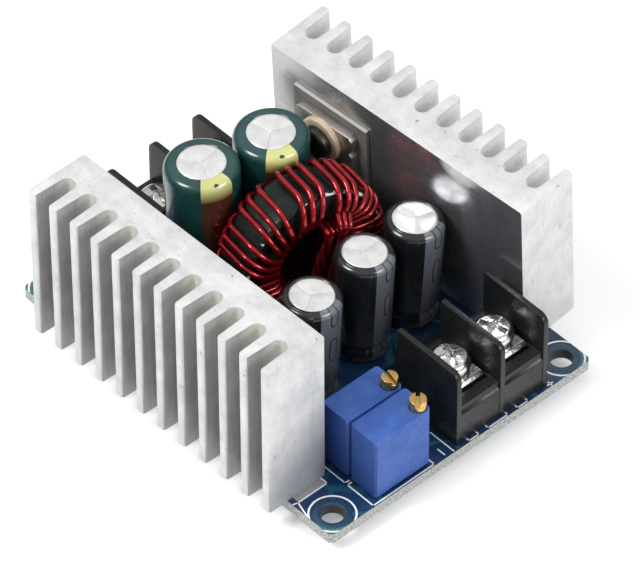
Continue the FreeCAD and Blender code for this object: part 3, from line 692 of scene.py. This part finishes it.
def slotPoints():
    # from the middle of one fin's tip, down round the slot's root, to the middle of the next tip
    pitch = sink["pitch"]
    tip = (pitch - sink["finTip"]) / 2
    root = (pitch - sink["finRoot"]) / 2
    rootY = sink["base"] + root
    arc = [(-root * math.cos(math.pi * k / 20), rootY - root * math.sin(math.pi * k / 20)) for k in range(21)]
    first = (-pitch / 2, sink["depth"])
    last = (pitch / 2, sink["depth"])
    return [first] + tipCorner(-tip, 1) + arc + tipCorner(tip, -1)[::-1] + [last]


def addHeatsink(nodeName, tree, slotObject, seat, shadedSlots):
    half = (sink["fins"] - 1) * sink["pitch"] / 2
    end = half + sink["finTip"] / 2
    around = [(half, sink["depth"])] + tipCorner(end, 1) + [(end, 0), (-end, 0)]
    around += tipCorner(-end, -1)[::-1] + [(-half, sink["depth"])]
    obj = addObject(nodeName + ".dressed", outlineMesh(nodeName + ".outline", around))
    mesh = grow(obj, tree, {"Slot Outline": slotObject, "Slots": sink["fins"] - 1, "Pitch": sink["pitch"] * mm,
                            "Height": sink["height"] * mm})
    bevelSharp(mesh, sink["edge"], 40)
    mesh.materials.clear()
    for finish in ("sinkMetal", "innerFace", "slotMetal"):
        mesh.materials.append(finishes[finish])
    # the left heatsink's slot walls take the painted shade of the slots
    for face in mesh.polygons:
        onWall = abs(face.normal.z) < 0.5 and abs(face.center.x) < (end - 0.3) * mm
        inSlot = sink["base"] * mm < face.center.y < (sink["depth"] - 0.35) * mm
        if face.normal.y < -0.95 and face.center.y < 0.05 * mm:
            face.material_index = 1
        elif shadedSlots and onWall and inSlot:
            face.material_index = 2
    smoothMesh(mesh)
    mesh.transform(seat)
    mesh.update()
    settle(obj, nodeName)


def sinkSeat(x, y, turn, lean=0.0):
    place = Matrix.Translation((x * mm, y * mm, sink["foot"] * mm))
    return place @ turnZ(turn) @ Matrix.Rotation(math.radians(lean), 4, "X")


rightSeat = sinkSeat(sink["rightX"], sink["gap"] / 2, sink["rightTurn"], sink["rightLean"])
leftSeat = sinkSeat(sink["leftX"], -sink["gap"] / 2, 180 + sink["leftTurn"])
finishes["sinkMetal"] = makeSinkMetal()
finishes["slotMetal"] = makeSlotMetal()
finishes["innerFace"] = makeInnerFace()
sinkTree = makeSinkTree()
slotObject = addObject("slotOutline", outlineMesh("slotOutline", slotPoints()))
addHeatsink("right_heatsink", sinkTree, slotObject, rightSeat, False)
addHeatsink("left_heatsink", sinkTree, slotObject, leftSeat, True)
bpy.data.objects.remove(slotObject)
print("heatsinks done")


# Power devices on the heatsinks

device = {"x": -11.2, "z": 17.35, "pad": 0.6, "tab": 1.27, "flange": 0.9}
sinkScrew = {"shank": 1.5, "length": 6.0, "head": 2.35, "rise": 1.5, "recess": 1.3, "recessWidth": 0.55,
             "recessDepth": 0.8, "rightTurn": 25, "leftTurn": 50}


def screwMesh(name, size, material):
    # pan head with a cross recess, its seat at zero and its shank down -Z
    r, h, shank, tip = size["head"], size["rise"], size["shank"], -size["length"]
    profile = [(0, tip), (shank - 0.15, tip), (shank, tip + 0.15), (shank, 0), (r - 0.08, 0), (r, 0.08), (r, h * 0.45)]
    for k in range(1, 9):
        a = math.pi / 2 * k / 8
        profile.append((r * (1 - 0.30 * (1 - math.cos(a))), h * (0.45 + 0.5 * math.sin(a))))
    profile += [(r * 0.35, h * 0.985), (0, h)]
    obj = addObject(name, latheMesh(name, profile, 64), finishes[material])
    half, reach, floor = size["recessWidth"] / 2, size["recess"], h - size["recessDepth"]
    for turn in (0, 90):
        carve(obj, boxMesh("arm", (-reach, reach), (-half, half), (floor, h + 1), turn))
    core = half * 1.9
    mesh = carve(obj, boxMesh("core", (-core, core), (-core, core), (floor - 0.1, h + 1), 45))
    bpy.data.objects.remove(obj)
    bevelSharp(mesh, 0.07, 40)
    smoothMesh(mesh, 45)
    return mesh


def joinMeshes(name, meshes):
    bm = bmesh.new()
    for mesh in meshes:
        bm.from_mesh(mesh)
    joined = meshFrom(bm, name)
    for material in meshes[0].materials:
        joined.materials.append(material)
    return joined


def addSinkScrews():
    # each lies along its heatsink's own +Y, through bush, tab and pad
    back = device["pad"] + device["tab"] + device["flange"]
    meshes = []
    for seat, x, turn in ((rightSeat, device["x"] - sink["rightX"], sinkScrew["rightTurn"]),
                          (leftSeat, sink["leftX"] - device["x"], sinkScrew["leftTurn"])):
        mesh = screwMesh("screw", sinkScrew, "screwSteel")
        lay = Matrix.Translation((x * mm, -back * mm, device["z"] * mm)) @ Matrix.Rotation(math.pi / 2, 4, "X")
        mesh.transform(seat @ lay @ turnZ(turn))
        meshes.append(mesh)
    mesh = joinMeshes("heatsink_screws.look", meshes)
    smoothMesh(mesh, 45)
    settle(addObject("heatsink_screws.dressed", mesh), "heatsink_screws")


for side, deviceName in (("right", "switching_regulator"), ("left", "rectifier_diode")):
    dressNode(side + "_insulating_pad", "padGrey", 0.1)
    dressNode(deviceName + "_tab", "deviceTab", 0.1)
    dressNode(deviceName + "_case", "caseBlack", 0.15)
    dressNode(deviceName + "_leads", "tinPlate", 0.05)
dressNode("insulating_bushes", "bushNylon", 0.15)
addSinkScrews()
dressNode("heatsink_pins", "tinPlate", 0.08)
print("devices done")


# Electrolytic capacitors

green = {"radius": 5.05, "height": 23.3, "face": 3.25, "shoulder": 1.15, "finish": "greenSleeve"}
black = {"radius": 4.05, "height": 16.4, "face": 2.98, "shoulder": 0.95, "finish": "blackSleeve"}
capFit = {"stand": 0.3, "wall": 0.2, "segments": 96, "scoreWidth": 0.12, "scoreDepth": 0.12}
capacitors = {
    "input_capacitor_left": {"kind": green, "at": (-13.0, -5.4), "lean": 1.2, "way": -125, "score": 95, "stripe": -17},
    "input_capacitor_right": {"kind": green, "at": (-11.6, 4.9), "lean": 1.0, "way": -60, "score": 70, "stripe": -24},
    "output_capacitor_left": {"kind": black, "at": (8.6, -7.4), "lean": 2.2, "way": 47, "score": 62, "stripe": 5},
    "output_capacitor_middle": {"kind": black, "at": (7.4, 2.8), "lean": 2.3, "way": 47, "score": 95, "stripe": 11},
    "output_capacitor_right": {"kind": black, "at": (7.2, 11.6), "lean": 2.8, "way": 47, "score": 75, "stripe": 8},
}
sleeves = {
    "greenSleeve": {"color": (0.010, 0.060, 0.058), "other": (0.007, 0.042, 0.042), "stripe": (0.62, 0.62, 0.24),
                    "stripeHalf": 2.3, "shaded": (0.075, 0.024, 0.014), "shadeLow": 20.6, "shadeHigh": 22.1,
                    "markPitch": 15.37, "markHalf": 0.0, "markRadius": 0.0, "markLine": 0.38, "markSquash": 2.6},
    "blackSleeve": {"color": (0.008, 0.009, 0.010), "other": (0.013, 0.013, 0.015), "stripe": (0.16, 0.17, 0.20),
                    "stripeHalf": 2.1, "shaded": (0.07, 0.075, 0.09), "shadeLow": 4.0, "shadeHigh": 15.0,
                    "markPitch": 6.2, "markHalf": 1.3, "markRadius": 0.6, "markLine": 0.09, "markSquash": 1.0},
}


def makeSleeve(name, look):
    # shrink sleeve with one stripe down it and a row of minus marks, drawn in the sleeve's own wrap map
    material, tree, shader = newMaterial(name, look["color"], 0.2, 0.0, {"Coat Weight": 0.4, "Coat Roughness": 0.08})
    coords = mmCoords(tree)
    u, v = xyz(Signal(tree.nodes.new("ShaderNodeTexCoord"), "UV"))[:2]
    across = abs(u)
    # each mark is a rounded slot: a line at one distance from a short straight
    along = abs(calc("FRACT", v / look["markPitch"]) - 0.5) * (look["markPitch"] * look["markSquash"])
    past = calc("MAXIMUM", along - look["markHalf"], 0.0)
    ring = calc("SQRT", sumOfSquares(across, past))
    mark = abs(ring - look["markRadius"]) < look["markLine"]
    mottle = span(noise(coords, 0.3, 3.0), 0.35, 0.7)
    body = blendColor(mottle, look["color"], look["other"])
    band = blendColor(mottle, look["stripe"], [c * 0.85 for c in look["stripe"]])
    # painted shade on the stripe lower down, red-brown on the green sleeves
    band = blendColor(span(v, look["shadeLow"], look["shadeHigh"]), look["shaded"], band)
    band = blendColor(mark, band, look["color"])
    paintWith(shader, baseColor=blendColor(across < look["stripeHalf"], body, band),
              roughness=span(noise(coords, 1.1, 3.0), 0.3, 0.7, 0.14, 0.26))
    addBump(shader, noise(mmCoords(tree, (1, 1, 0.4)), 1.1, 2.0), 0.10, 0.1)
    return material


def arcPoints(r, z, radius, start, end, steps):
    angles = [math.radians(start + (end - start) * k / steps) for k in range(steps + 1)]
    return [(r + radius * math.cos(a), z + radius * math.sin(a)) for a in angles]


def capSeat(spec):
    kind = spec["kind"]
    way = math.radians(spec["way"])
    lean = math.radians(spec["lean"])
    height = board["top"] + capFit["stand"] + kind["radius"] * math.sin(lean)
    base = Vector((*spec["at"], height)) * mm
    return Matrix.Translation(base) @ Matrix.Rotation(lean, 4, Vector((-math.sin(way), math.cos(way), 0)))


def addSleeve(name, spec, seat):
    # a soft shoulder rolled over the can's edge, and a waist near the foot where the can is crimped
    kind = spec["kind"]
    r, top, s = kind["radius"], kind["height"], kind["shoulder"]
    inner = r - capFit["wall"]
    profile = [(inner - 0.5, -0.18), (r - 0.15, -0.18), (r, 0.05), (r, 1.5)]
    profile += [(r - 0.28 * math.sin(math.pi * k / 8), 1.5 + 1.4 * k / 8) for k in range(1, 8)]
    profile += [(r, 2.9), (r, top - s)]
    profile += arcPoints(r - s, top - s, s, 8, 80, 9)
    profile += [(kind["face"] + 0.25, top + 0.09), (kind["face"] + 0.05, top + 0.06), (kind["face"], top - 0.05)]
    profile += [(inner - 0.1, top - s * 0.9), (inner - 0.45, 2.4), (inner - 0.1, 0.3)]
    mesh = latheMesh(name + "_sleeve.look", profile, capFit["segments"], True, r)
    smoothMesh(mesh, 60)
    # the wrap map's middle looks along -X before this turn
    mesh.transform(seat @ turnZ(spec["stripe"] + 180))
    settle(addObject(name + "_sleeve.dressed", mesh, finishes[kind["finish"]]), name + "_sleeve")


def addCan(name, spec, seat):
    # bare can with its vent scored into three sectors that stand a little proud
    kind = spec["kind"]
    face, top = kind["face"], kind["height"]
    inner = kind["radius"] - capFit["wall"]
    profile = [(0, 0), (inner - 0.55, 0), (inner - 0.5, 2.2), (inner - 0.25, 3.4),
               (inner - 0.25, top - kind["shoulder"]), (face + 0.1, top - 0.14), (face - 0.12, top - 0.02)]
    profile += [(face * k / 8, top) for k in (7, 5, 3, 1)] + [(0, top)]
    mesh = latheMesh(name + "_can.look", profile, capFit["segments"])
    for vertex in mesh.vertices:
        r = math.hypot(vertex.co.x, vertex.co.y) / mm
        if vertex.co.z / mm > top - 0.03:
            a = math.degrees(math.atan2(vertex.co.y, vertex.co.x))
            nearest = abs((a + 60) % 120 - 60)   # angle to the nearest score
            away = r * math.sin(math.radians(nearest))
            swell = min(1.0, away / 0.9) if r > 0.01 else 0.0
            vertex.co.z += (0.13 * swell - 0.05) * mm * min(1.0, (face - r + 0.15) / 0.3)
    smoothMesh(mesh, 50)
    mesh.transform(turnZ(spec["score"]))
    obj = addObject(name + "_can.dressed", mesh, finishes["canAluminium"])
    half = capFit["scoreWidth"] / 2
    for k in range(3):
        mesh = carve(obj, boxMesh("groove", (0.0, face - 0.25), (-half, half), (top - capFit["scoreDepth"], top + 0.4),
                                  spec["score"] + 120 * k))
    smoothMesh(mesh, 50)
    mesh.transform(seat)
    settle(obj, name + "_can")


for sleeveName, sleeveLook in sleeves.items():
    finishes[sleeveName] = makeSleeve(sleeveName, sleeveLook)
for capName, capSpec in capacitors.items():
    capPlace = capSeat(capSpec)
    addSleeve(capName, capSpec, capPlace)
    addCan(capName, capSpec, capPlace)
    dressNode(capName + "_leads", "tinPlate", 0.0)
print("capacitors done")


# Inductor

coil = {"coreRadius": 10.55, "boreRadius": 6.05, "coreHeight": 6.4, "coreEdge": 0.75,
        "x": -2.6, "y": 1.6, "turn": -8.0, "stand": 0.35,
        "wireRadius": 0.4, "wireFit": 0.06, "wireStep": 0.3, "wireSides": 12, "strands": 3,
        "turns": 12, "pitch": 29.8, "firstTurn": 90.0, "firstGap": 3.5,
        "backDrift": 18.0, "boreSpread": 0.94, "outerSpread": 1.5, "boreBend": 1.1, "backBend": 1.6, "frontBend": 3.0,
        "slack": 0.8, "stray": 1.1, "seed": 4}
tails = {"length": 1.6, "lift": 0.03, "spread": 0.96, "rise": 4.0, "gap": 0.5, "layer": 0.94, "startAcross": -4.0,
         "finishAcross": -1.2, "leaveRadius": 8.2, "leaveGap": 0.4, "turnRadius": 6.8, "twist": 2.6, "ropeRadius": 0.47}
coil["outer"] = coil["coreRadius"] + coil["wireFit"] + coil["wireRadius"]
coil["inner"] = coil["boreRadius"] - coil["wireFit"] - coil["wireRadius"]
coil["half"] = coil["coreHeight"] / 2 + coil["wireFit"] + coil["wireRadius"]
coil["z"] = board["top"] + coil["stand"] + coil["outer"] + coil["wireRadius"]


def seatCoil(across, up, axial):
    turn = math.radians(coil["turn"])
    return Vector((coil["x"] + axial * math.cos(turn) - across * math.sin(turn),
                   coil["y"] + axial * math.sin(turn) + across * math.cos(turn), coil["z"] + up))


def ringPoint(radius, angle, axial):
    a = math.radians(angle)
    return seatCoil(radius * math.cos(a), radius * math.sin(a), axial)


def roundedCorner(radius, axial, bend, insideBore, front, entering):
    # (radius, axial) points of a wire's bend over one corner of the core's section
    side = 1 if front else -1
    outward = -1 if insideBore else 1
    points = []
    for k in range(6):
        a = math.radians(18 * k)
        points.append((radius - outward * bend * (1 - math.sin(a)), axial - side * bend * (1 - math.cos(a))))
    return points if entering else points[::-1]


def turnPoints(boreAngle, outerAngle, frontDrift, nextBore):
    # one turn from the bore, along the back and over the outside to the front again. The wire bows off the core
    # where it comes over the top. The first turn has no drift to take up, and the last has no bore to go to.
    slack = coil["slack"] * max(0.0, math.sin(math.radians(outerAngle))) ** 0.5
    frontBend = coil["backBend"] + (coil["frontBend"] - coil["backBend"]) * slack / coil["slack"]
    inner, outer, half = coil["inner"], coil["outer"] + slack * 0.35, coil["half"]
    reach = outer - inner
    backDrift = outerAngle - boreAngle
    nextDrift = 0 if nextBore is None else nextBore - outerAngle
    points = []
    if frontDrift is not None:
        for r, z in roundedCorner(inner, half, coil["boreBend"], True, True, True):
            points.append(ringPoint(r, boreAngle - frontDrift * (r - inner) / reach, z))
    back = roundedCorner(inner, -half, coil["boreBend"], True, False, False)
    back += roundedCorner(outer, -half, coil["backBend"], False, False, True)
    for r, z in back:
        points.append(ringPoint(r, boreAngle + backDrift * (r - inner) / reach, z))
    for r, z in roundedCorner(outer, half + slack, frontBend, False, True, False):
        points.append(ringPoint(r, outerAngle + nextDrift * (outer - r) / reach, z))
    return points


def ropePoints(low, high, layer, strand, towards):
    # three strands laid side by side at both ends and twisted between them
    shift = strand - (coil["strands"] - 1) / 2
    points = [seatCoil(low.x - shift * tails["spread"], low.y, layer)]
    low = low + Vector((0, tails["rise"] * 0.5))
    steps = 30
    for k in range(steps + 1):
        t = k / steps
        ease = min(1.0, 5 * t, 5 * (1 - t))
        spin = 2 * math.pi * (tails["twist"] * t + strand / 3)
        flat = Vector((-shift * tails["spread"], 0)) if t < 0.5 else towards * shift
        place = low.lerp(high, t) + flat * (1 - ease) + Vector((math.cos(spin), 0)) * tails["ropeRadius"] * ease
        points.append(seatCoil(place.x, place.y, layer + tails["ropeRadius"] * math.sin(spin) * ease))
    return points


def strandPath(strand):
    # up from the board in one bundle, round the core, and down in the other
    shift = strand - (coil["strands"] - 1) / 2
    dice = random.Random(coil["seed"] + strand)
    outerStep = math.degrees(coil["outerSpread"] / coil["outer"]) * shift
    boreStep = math.degrees(coil["boreSpread"] / coil["inner"]) * shift
    startLayer = coil["half"] + coil["wireRadius"] + tails["gap"]
    finishLayer = startLayer + tails["layer"]
    floor = tails["lift"] - tails["length"] - coil["z"]
    outside = [coil["firstTurn"] + k * coil["pitch"] + (coil["firstGap"] if k else 0) for k in range(coil["turns"])]
    bores = [angle - coil["backDrift"] + boreStep for angle in outside]
    strays = [outerStep + coil["stray"] * dice.uniform(-1, 1) for angle in outside]

    enter = math.radians(outside[0] - coil["backDrift"])
    high = Vector((math.cos(enter), math.sin(enter))) * coil["inner"]
    side = Vector((-math.sin(enter), math.cos(enter))) * coil["boreSpread"]
    points = ropePoints(Vector((tails["startAcross"], floor)), high, startLayer, strand, side)
    for k, angle in enumerate(outside):
        frontDrift = bores[k] - outside[k - 1] - strays[k - 1] if k else None
        nextBore = bores[k + 1] if k + 1 < len(bores) else None
        points += turnPoints(bores[k], angle + strays[k], frontDrift, nextBore)
    points.append(ringPoint(tails["leaveRadius"], outside[-1] + outerStep, coil["half"] + tails["leaveGap"]))
    leave = math.radians(outside[-1])
    high = Vector((math.cos(leave), math.sin(leave))) * tails["turnRadius"]
    side = Vector((-math.sin(leave), math.cos(leave))) * coil["outerSpread"] / coil["outer"] * tails["turnRadius"]
    points += ropePoints(Vector((tails["finishAcross"], floor)), high, finishLayer, strand, side)[::-1]
    return points


def coilRadius(tree):
    # how far a point lies from the coil's axis, and how far along it
    axial, across, up = xyz(centredCoords(tree, (coil["x"], coil["y"], coil["z"]), coil["turn"]))
    return calc("SQRT", sumOfSquares(across, up)), axial


def makeEnamel():
    # red over copper, with painted shade that darkens it in the bore
    look = {"red": (0.42, 0.008, 0.014), "deep": (0.24, 0.002, 0.006), "copper": (0.62, 0.14, 0.08),
            "boreShade": (0.012, 0.002, 0.003)}
    material, tree, shader = newMaterial("redEnamel", look["red"], 0.3, 0.75,
                                         {"Coat Weight": 0.6, "Coat Roughness": 0.07})
    coords = mmCoords(tree)
    tint = blendColor(span(noise(coords, 0.5, 3.0), 0.35, 0.65), look["red"], look["deep"])
    rub = span(noise(coords, 2.2, 5.0, 0.7), 0.68, 0.75)
    tint = blendColor(rub * 0.5, tint, look["copper"])
    radius, axial = coilRadius(tree)
    bore = span(radius, 6.3, 5.5) * span(axial, 3.6, 2.2, 0.0, 0.85)
    paintWith(shader, baseColor=blendColor(bore, tint, look["boreShade"]), coat=span(bore, 0, 1, 0.6, 0.05),
              roughness=span(noise(coords, 1.5, 3.0), 0.3, 0.7, 0.16, 0.32))
    addBump(shader, noise(coords, 2.0, 2.0), 0.08, 0.05)
    return material


def makeCoreCoat():
    # black epoxy, with white painted highlights along the front edge
    look = {"black": (0.006, 0.008, 0.008), "grey": (0.014, 0.017, 0.017), "chip": (0.75, 0.76, 0.76)}
    material, tree, shader = newMaterial("coreCoat", look["black"], 0.3, 0.0, {"Specular IOR Level": 0.22})
    coords = mmCoords(tree)
    radius, axial = coilRadius(tree)
    sharp = coil["coreHeight"] / 2 + coil["coreRadius"]
    edge = span(axial + radius, sharp - 0.53, sharp - 0.47)
    chips = edge * span(noise(coords, 0.42, 3.0, 0.6), 0.56, 0.60)
    tint = blendColor(span(noise(coords, 0.35, 4.0), 0.35, 0.68), look["black"], look["grey"])
    paintWith(shader, baseColor=blendColor(chips, tint, look["chip"]),
              roughness=span(noise(coords, 1.4, 4.0), 0.3, 0.7, 0.22, 0.4))
    addBump(shader, noise(coords, 1.6, 3.0), 0.3, 0.08)
    return material


def makeWireTree():
    # a round wire along a path of edges
    tree, inputs, outputs = newTree("roundWire", {"Wire Radius": 0.0004, "Step": 0.0003, "Sides": 12})
    curve = addNode(tree, "GeometryNodeMeshToCurve")
    kind = addNode(tree, "GeometryNodeCurveSplineType", spline_type="CATMULL_ROM")
    resample = addNode(tree, "GeometryNodeResampleCurve", mode="LENGTH")
    section = addNode(tree, "GeometryNodeCurvePrimitiveCircle")
    sweep = addNode(tree, "GeometryNodeCurveToMesh", Fill_Caps=True)
    smooth = addNode(tree, "GeometryNodeSetShadeSmooth")
    joinUp(tree, [
        (inputs, "Geometry", curve, "Mesh"),
        (curve, "Curve", kind, "Curve"),
        (kind, "Curve", resample, "Curve"),
        (inputs, "Step", resample, "Length"),
        (inputs, "Wire Radius", section, "Radius"),
        (inputs, "Sides", section, "Resolution"),
        (resample, "Curve", sweep, "Curve"),
        (section, "Curve", sweep, "Profile Curve"),
        (sweep, "Mesh", smooth, "Geometry")])
    finishTree(tree, smooth, 0, outputs, makeEnamel())
    return tree


def addCore():
    e, half = coil["coreEdge"], coil["coreHeight"] / 2
    profile = arcPoints(coil["boreRadius"] + e, -half + e, e, 180, 270, 5)
    profile += arcPoints(coil["coreRadius"] - e, -half + e, e, 270, 360, 5)
    profile += arcPoints(coil["coreRadius"] - e, half - e, e, 0, 90, 5)
    profile += arcPoints(coil["boreRadius"] + e, half - e, e, 90, 180, 5)
    mesh = latheMesh("inductor_core.look", profile, 128, True)
    smoothMesh(mesh, 50)
    place = Matrix.Translation(Vector((coil["x"], coil["y"], coil["z"])) * mm)
    mesh.transform(place @ turnZ(coil["turn"]) @ Matrix.Rotation(math.pi / 2, 4, "Y"))
    settle(addObject("inductor_core.dressed", mesh, makeCoreCoat()), "inductor_core")


def addWinding():
    tree = makeWireTree()
    for strand, letter in enumerate("abc"):
        path = strandPath(strand)
        mesh = bpy.data.meshes.new("strandPath")
        mesh.from_pydata([p * mm for p in path], [(k, k + 1) for k in range(len(path) - 1)], [])
        obj = addObject("inductor_wire_" + letter + ".dressed", mesh)
        grow(obj, tree, {"Wire Radius": coil["wireRadius"] * mm, "Step": coil["wireStep"] * mm,
                         "Sides": coil["wireSides"]})
        settle(obj, "inductor_wire_" + letter)


addCore()
addWinding()
print("inductor done")


# Trimmers

def makeTrimmerBlue():
    look = {"blue": (0.038, 0.105, 0.40), "pale": (0.060, 0.145, 0.47), "deep": (0.014, 0.045, 0.20)}
    material, tree, shader = newMaterial("trimmerBlue", look["blue"], 0.45, 0.0, {"Specular IOR Level": 0.35})
    coords = mmCoords(tree)
    tint = blendColor(span(noise(coords, 0.5, 4.0), 0.35, 0.7), look["blue"], look["pale"])
    nx, ny, nz = normalXyz(tree)
    # painted shade, a deeper blue, on the narrow side facing -Y, and a pebbled face on the broad one
    paintWith(shader, baseColor=blendColor((ny < -0.7) * 0.6, tint, look["deep"]))
    pebbles = span(cells(mmCoords(tree, (1, 1, 1.6)), 1.5), 0.25, 0.5)
    addBump(shader, pebbles * (nx > 0.7), 0.45, 0.12)
    addBump(shader, noise(coords, 6.0, 3.0), 0.16, 0.05)
    return material


finishes["trimmerBlue"] = makeTrimmerBlue()
for trimmerName in ("outer_trimmer", "inner_trimmer"):
    dressNode(trimmerName + "_body", "trimmerBlue", 0.16, 50)
    dressNode(trimmerName + "_screw", "brass", 0.07)
    dressNode(trimmerName + "_pins", "tinPlate", 0.0)
print("trimmers done")


# Screw terminals

terminalScrew = {"shank": 1.5, "length": 4.6, "head": 2.82, "rise": 2.5, "recess": 2.05, "recessWidth": 0.85,
                 "recessDepth": 1.2}
screwTurns = {"output_terminal_screw_a": 68, "output_terminal_screw_b": 20,
              "input_terminal_screw_a": 35, "input_terminal_screw_b": 80}


def addTerminalScrew(nodeName):
    low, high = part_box(nodeName)
    mesh = screwMesh(nodeName + ".look", terminalScrew, "platedScrew")
    place = Vector(((low[0] + high[0]) / 2, (low[1] + high[1]) / 2, low[2] + terminalScrew["length"] * mm))
    mesh.transform(Matrix.Translation(place) @ turnZ(screwTurns[nodeName]))
    settle(addObject(nodeName + ".dressed", mesh), nodeName)


for terminalName in ("output", "input"):
    dressNode(terminalName + "_terminal_housing", "terminalBlack", 0.12)
    dressNode(terminalName + "_terminal_contacts", "tinPlate", 0.05)
    for letter in "ab":
        dressNode(terminalName + "_clamp_plate_" + letter, "platedScrew", 0.12)
        addTerminalScrew(terminalName + "_terminal_screw_" + letter)
print("terminals done")


# Small parts and solder

for partName, finish, bevel in (("control_amplifier", "caseBlack", 0.08), ("control_amplifier_pins", "tinPlate", 0.03),
                                ("chip_resistors", "ceramic", 0.05), ("current_sense_resistors", "ceramic", 0.08),
                                ("indicator_lamps", "lampResin", 0.08), ("solder_joints", "solder", 0.1)):
    dressNode(partName, finish, bevel)
print("small parts done")


# Floor, light and camera

studio = {"floor": (0.82, 0.82, 0.82), "floorHalf": 4.0, "floorGap": 0.05, "glow": 0.28,
          "zenith": 0.80, "horizon": 0.10, "aim": (0, 0, 0.01), "lampSize": 0.4,
          "keyPlace": (-0.25, -0.55, 0.75), "keyPower": 6.0, "fillPlace": (0.7, 0.2, 0.45), "fillPower": 3.0}
view = {"place": (429.6, -386.5, 598.8), "aim": (1.886, 0.920, 10.0), "roll": -0.33, "lens": 358.0}


def addFloor():
    mesh = bpy.data.meshes.new("floor")
    z = -(tails["length"] + studio["floorGap"]) * mm
    half = studio["floorHalf"]
    mesh.from_pydata([(-half, -half, z), (half, -half, z), (half, half, z), (-half, half, z)], [], [(0, 1, 2, 3)])
    material, tree, shader = newMaterial("paleFloor", studio["floor"], 0.8)
    shader.inputs["Specular IOR Level"].default_value = 0.1
    # a little glow for the camera and for glossy metal only, so that the floor reads white
    path = tree.nodes.new("ShaderNodeLightPath")
    seen = calc("MAXIMUM", Signal(path, "Is Camera Ray"), Signal(path, "Is Glossy Ray"))
    feed(shader.inputs["Emission Color"], (1, 1, 1))
    feed(shader.inputs["Emission Strength"], seen * studio["glow"])
    addObject("floor", mesh, material)


def addWorld():
    world = bpy.data.worlds.new("studio")
    bpy.context.scene.world = world
    world.use_nodes = True
    tree = world.node_tree
    background = tree.nodes["Background"]
    # brighter overhead than at the horizon, so that metal has something to show
    up = xyz(Signal(tree.nodes.new("ShaderNodeTexCoord"), "Generated"))[2]
    feed(background.inputs["Color"], (1, 1, 1))
    feed(background.inputs["Strength"], span(up, 0.05, 0.75, studio["horizon"], studio["zenith"]))


def addLamp(name, place, power):
    lamp = bpy.data.lights.new(name, "AREA")
    lamp.shape = "DISK"
    lamp.size = studio["lampSize"]
    lamp.energy = power
    obj = bpy.data.objects.new(name, lamp)
    obj.location = place
    obj.rotation_euler = (Vector(studio["aim"]) - Vector(place)).to_track_quat("-Z", "Y").to_euler()
    bpy.context.scene.collection.objects.link(obj)


def addCamera():
    # a long lens from above, solved against the module's own corners and parts
    camera = bpy.data.cameras.new("camera")
    camera.sensor_width = 36
    camera.sensor_fit = "HORIZONTAL"
    camera.lens = view["lens"]
    camera.clip_end = 20
    obj = bpy.data.objects.new("camera", camera)
    bpy.context.scene.collection.objects.link(obj)
    place = Vector(view["place"]) * mm
    forward = (Vector(view["aim"]) * mm - place).normalized()
    right = forward.cross(Vector((0, 0, 1))).normalized()
    turn = Matrix((right, right.cross(forward), -forward)).transposed().to_4x4()
    obj.matrix_world = Matrix.Translation(place) @ turn @ turnZ(view["roll"])
    bpy.context.scene.camera = obj


addFloor()
addWorld()
addLamp("keyLamp", studio["keyPlace"], studio["keyPower"])
addLamp("fillLamp", studio["fillPlace"], studio["fillPower"])
addCamera()
bpy.context.scene.view_settings.view_transform = "Standard"
print("studio done")
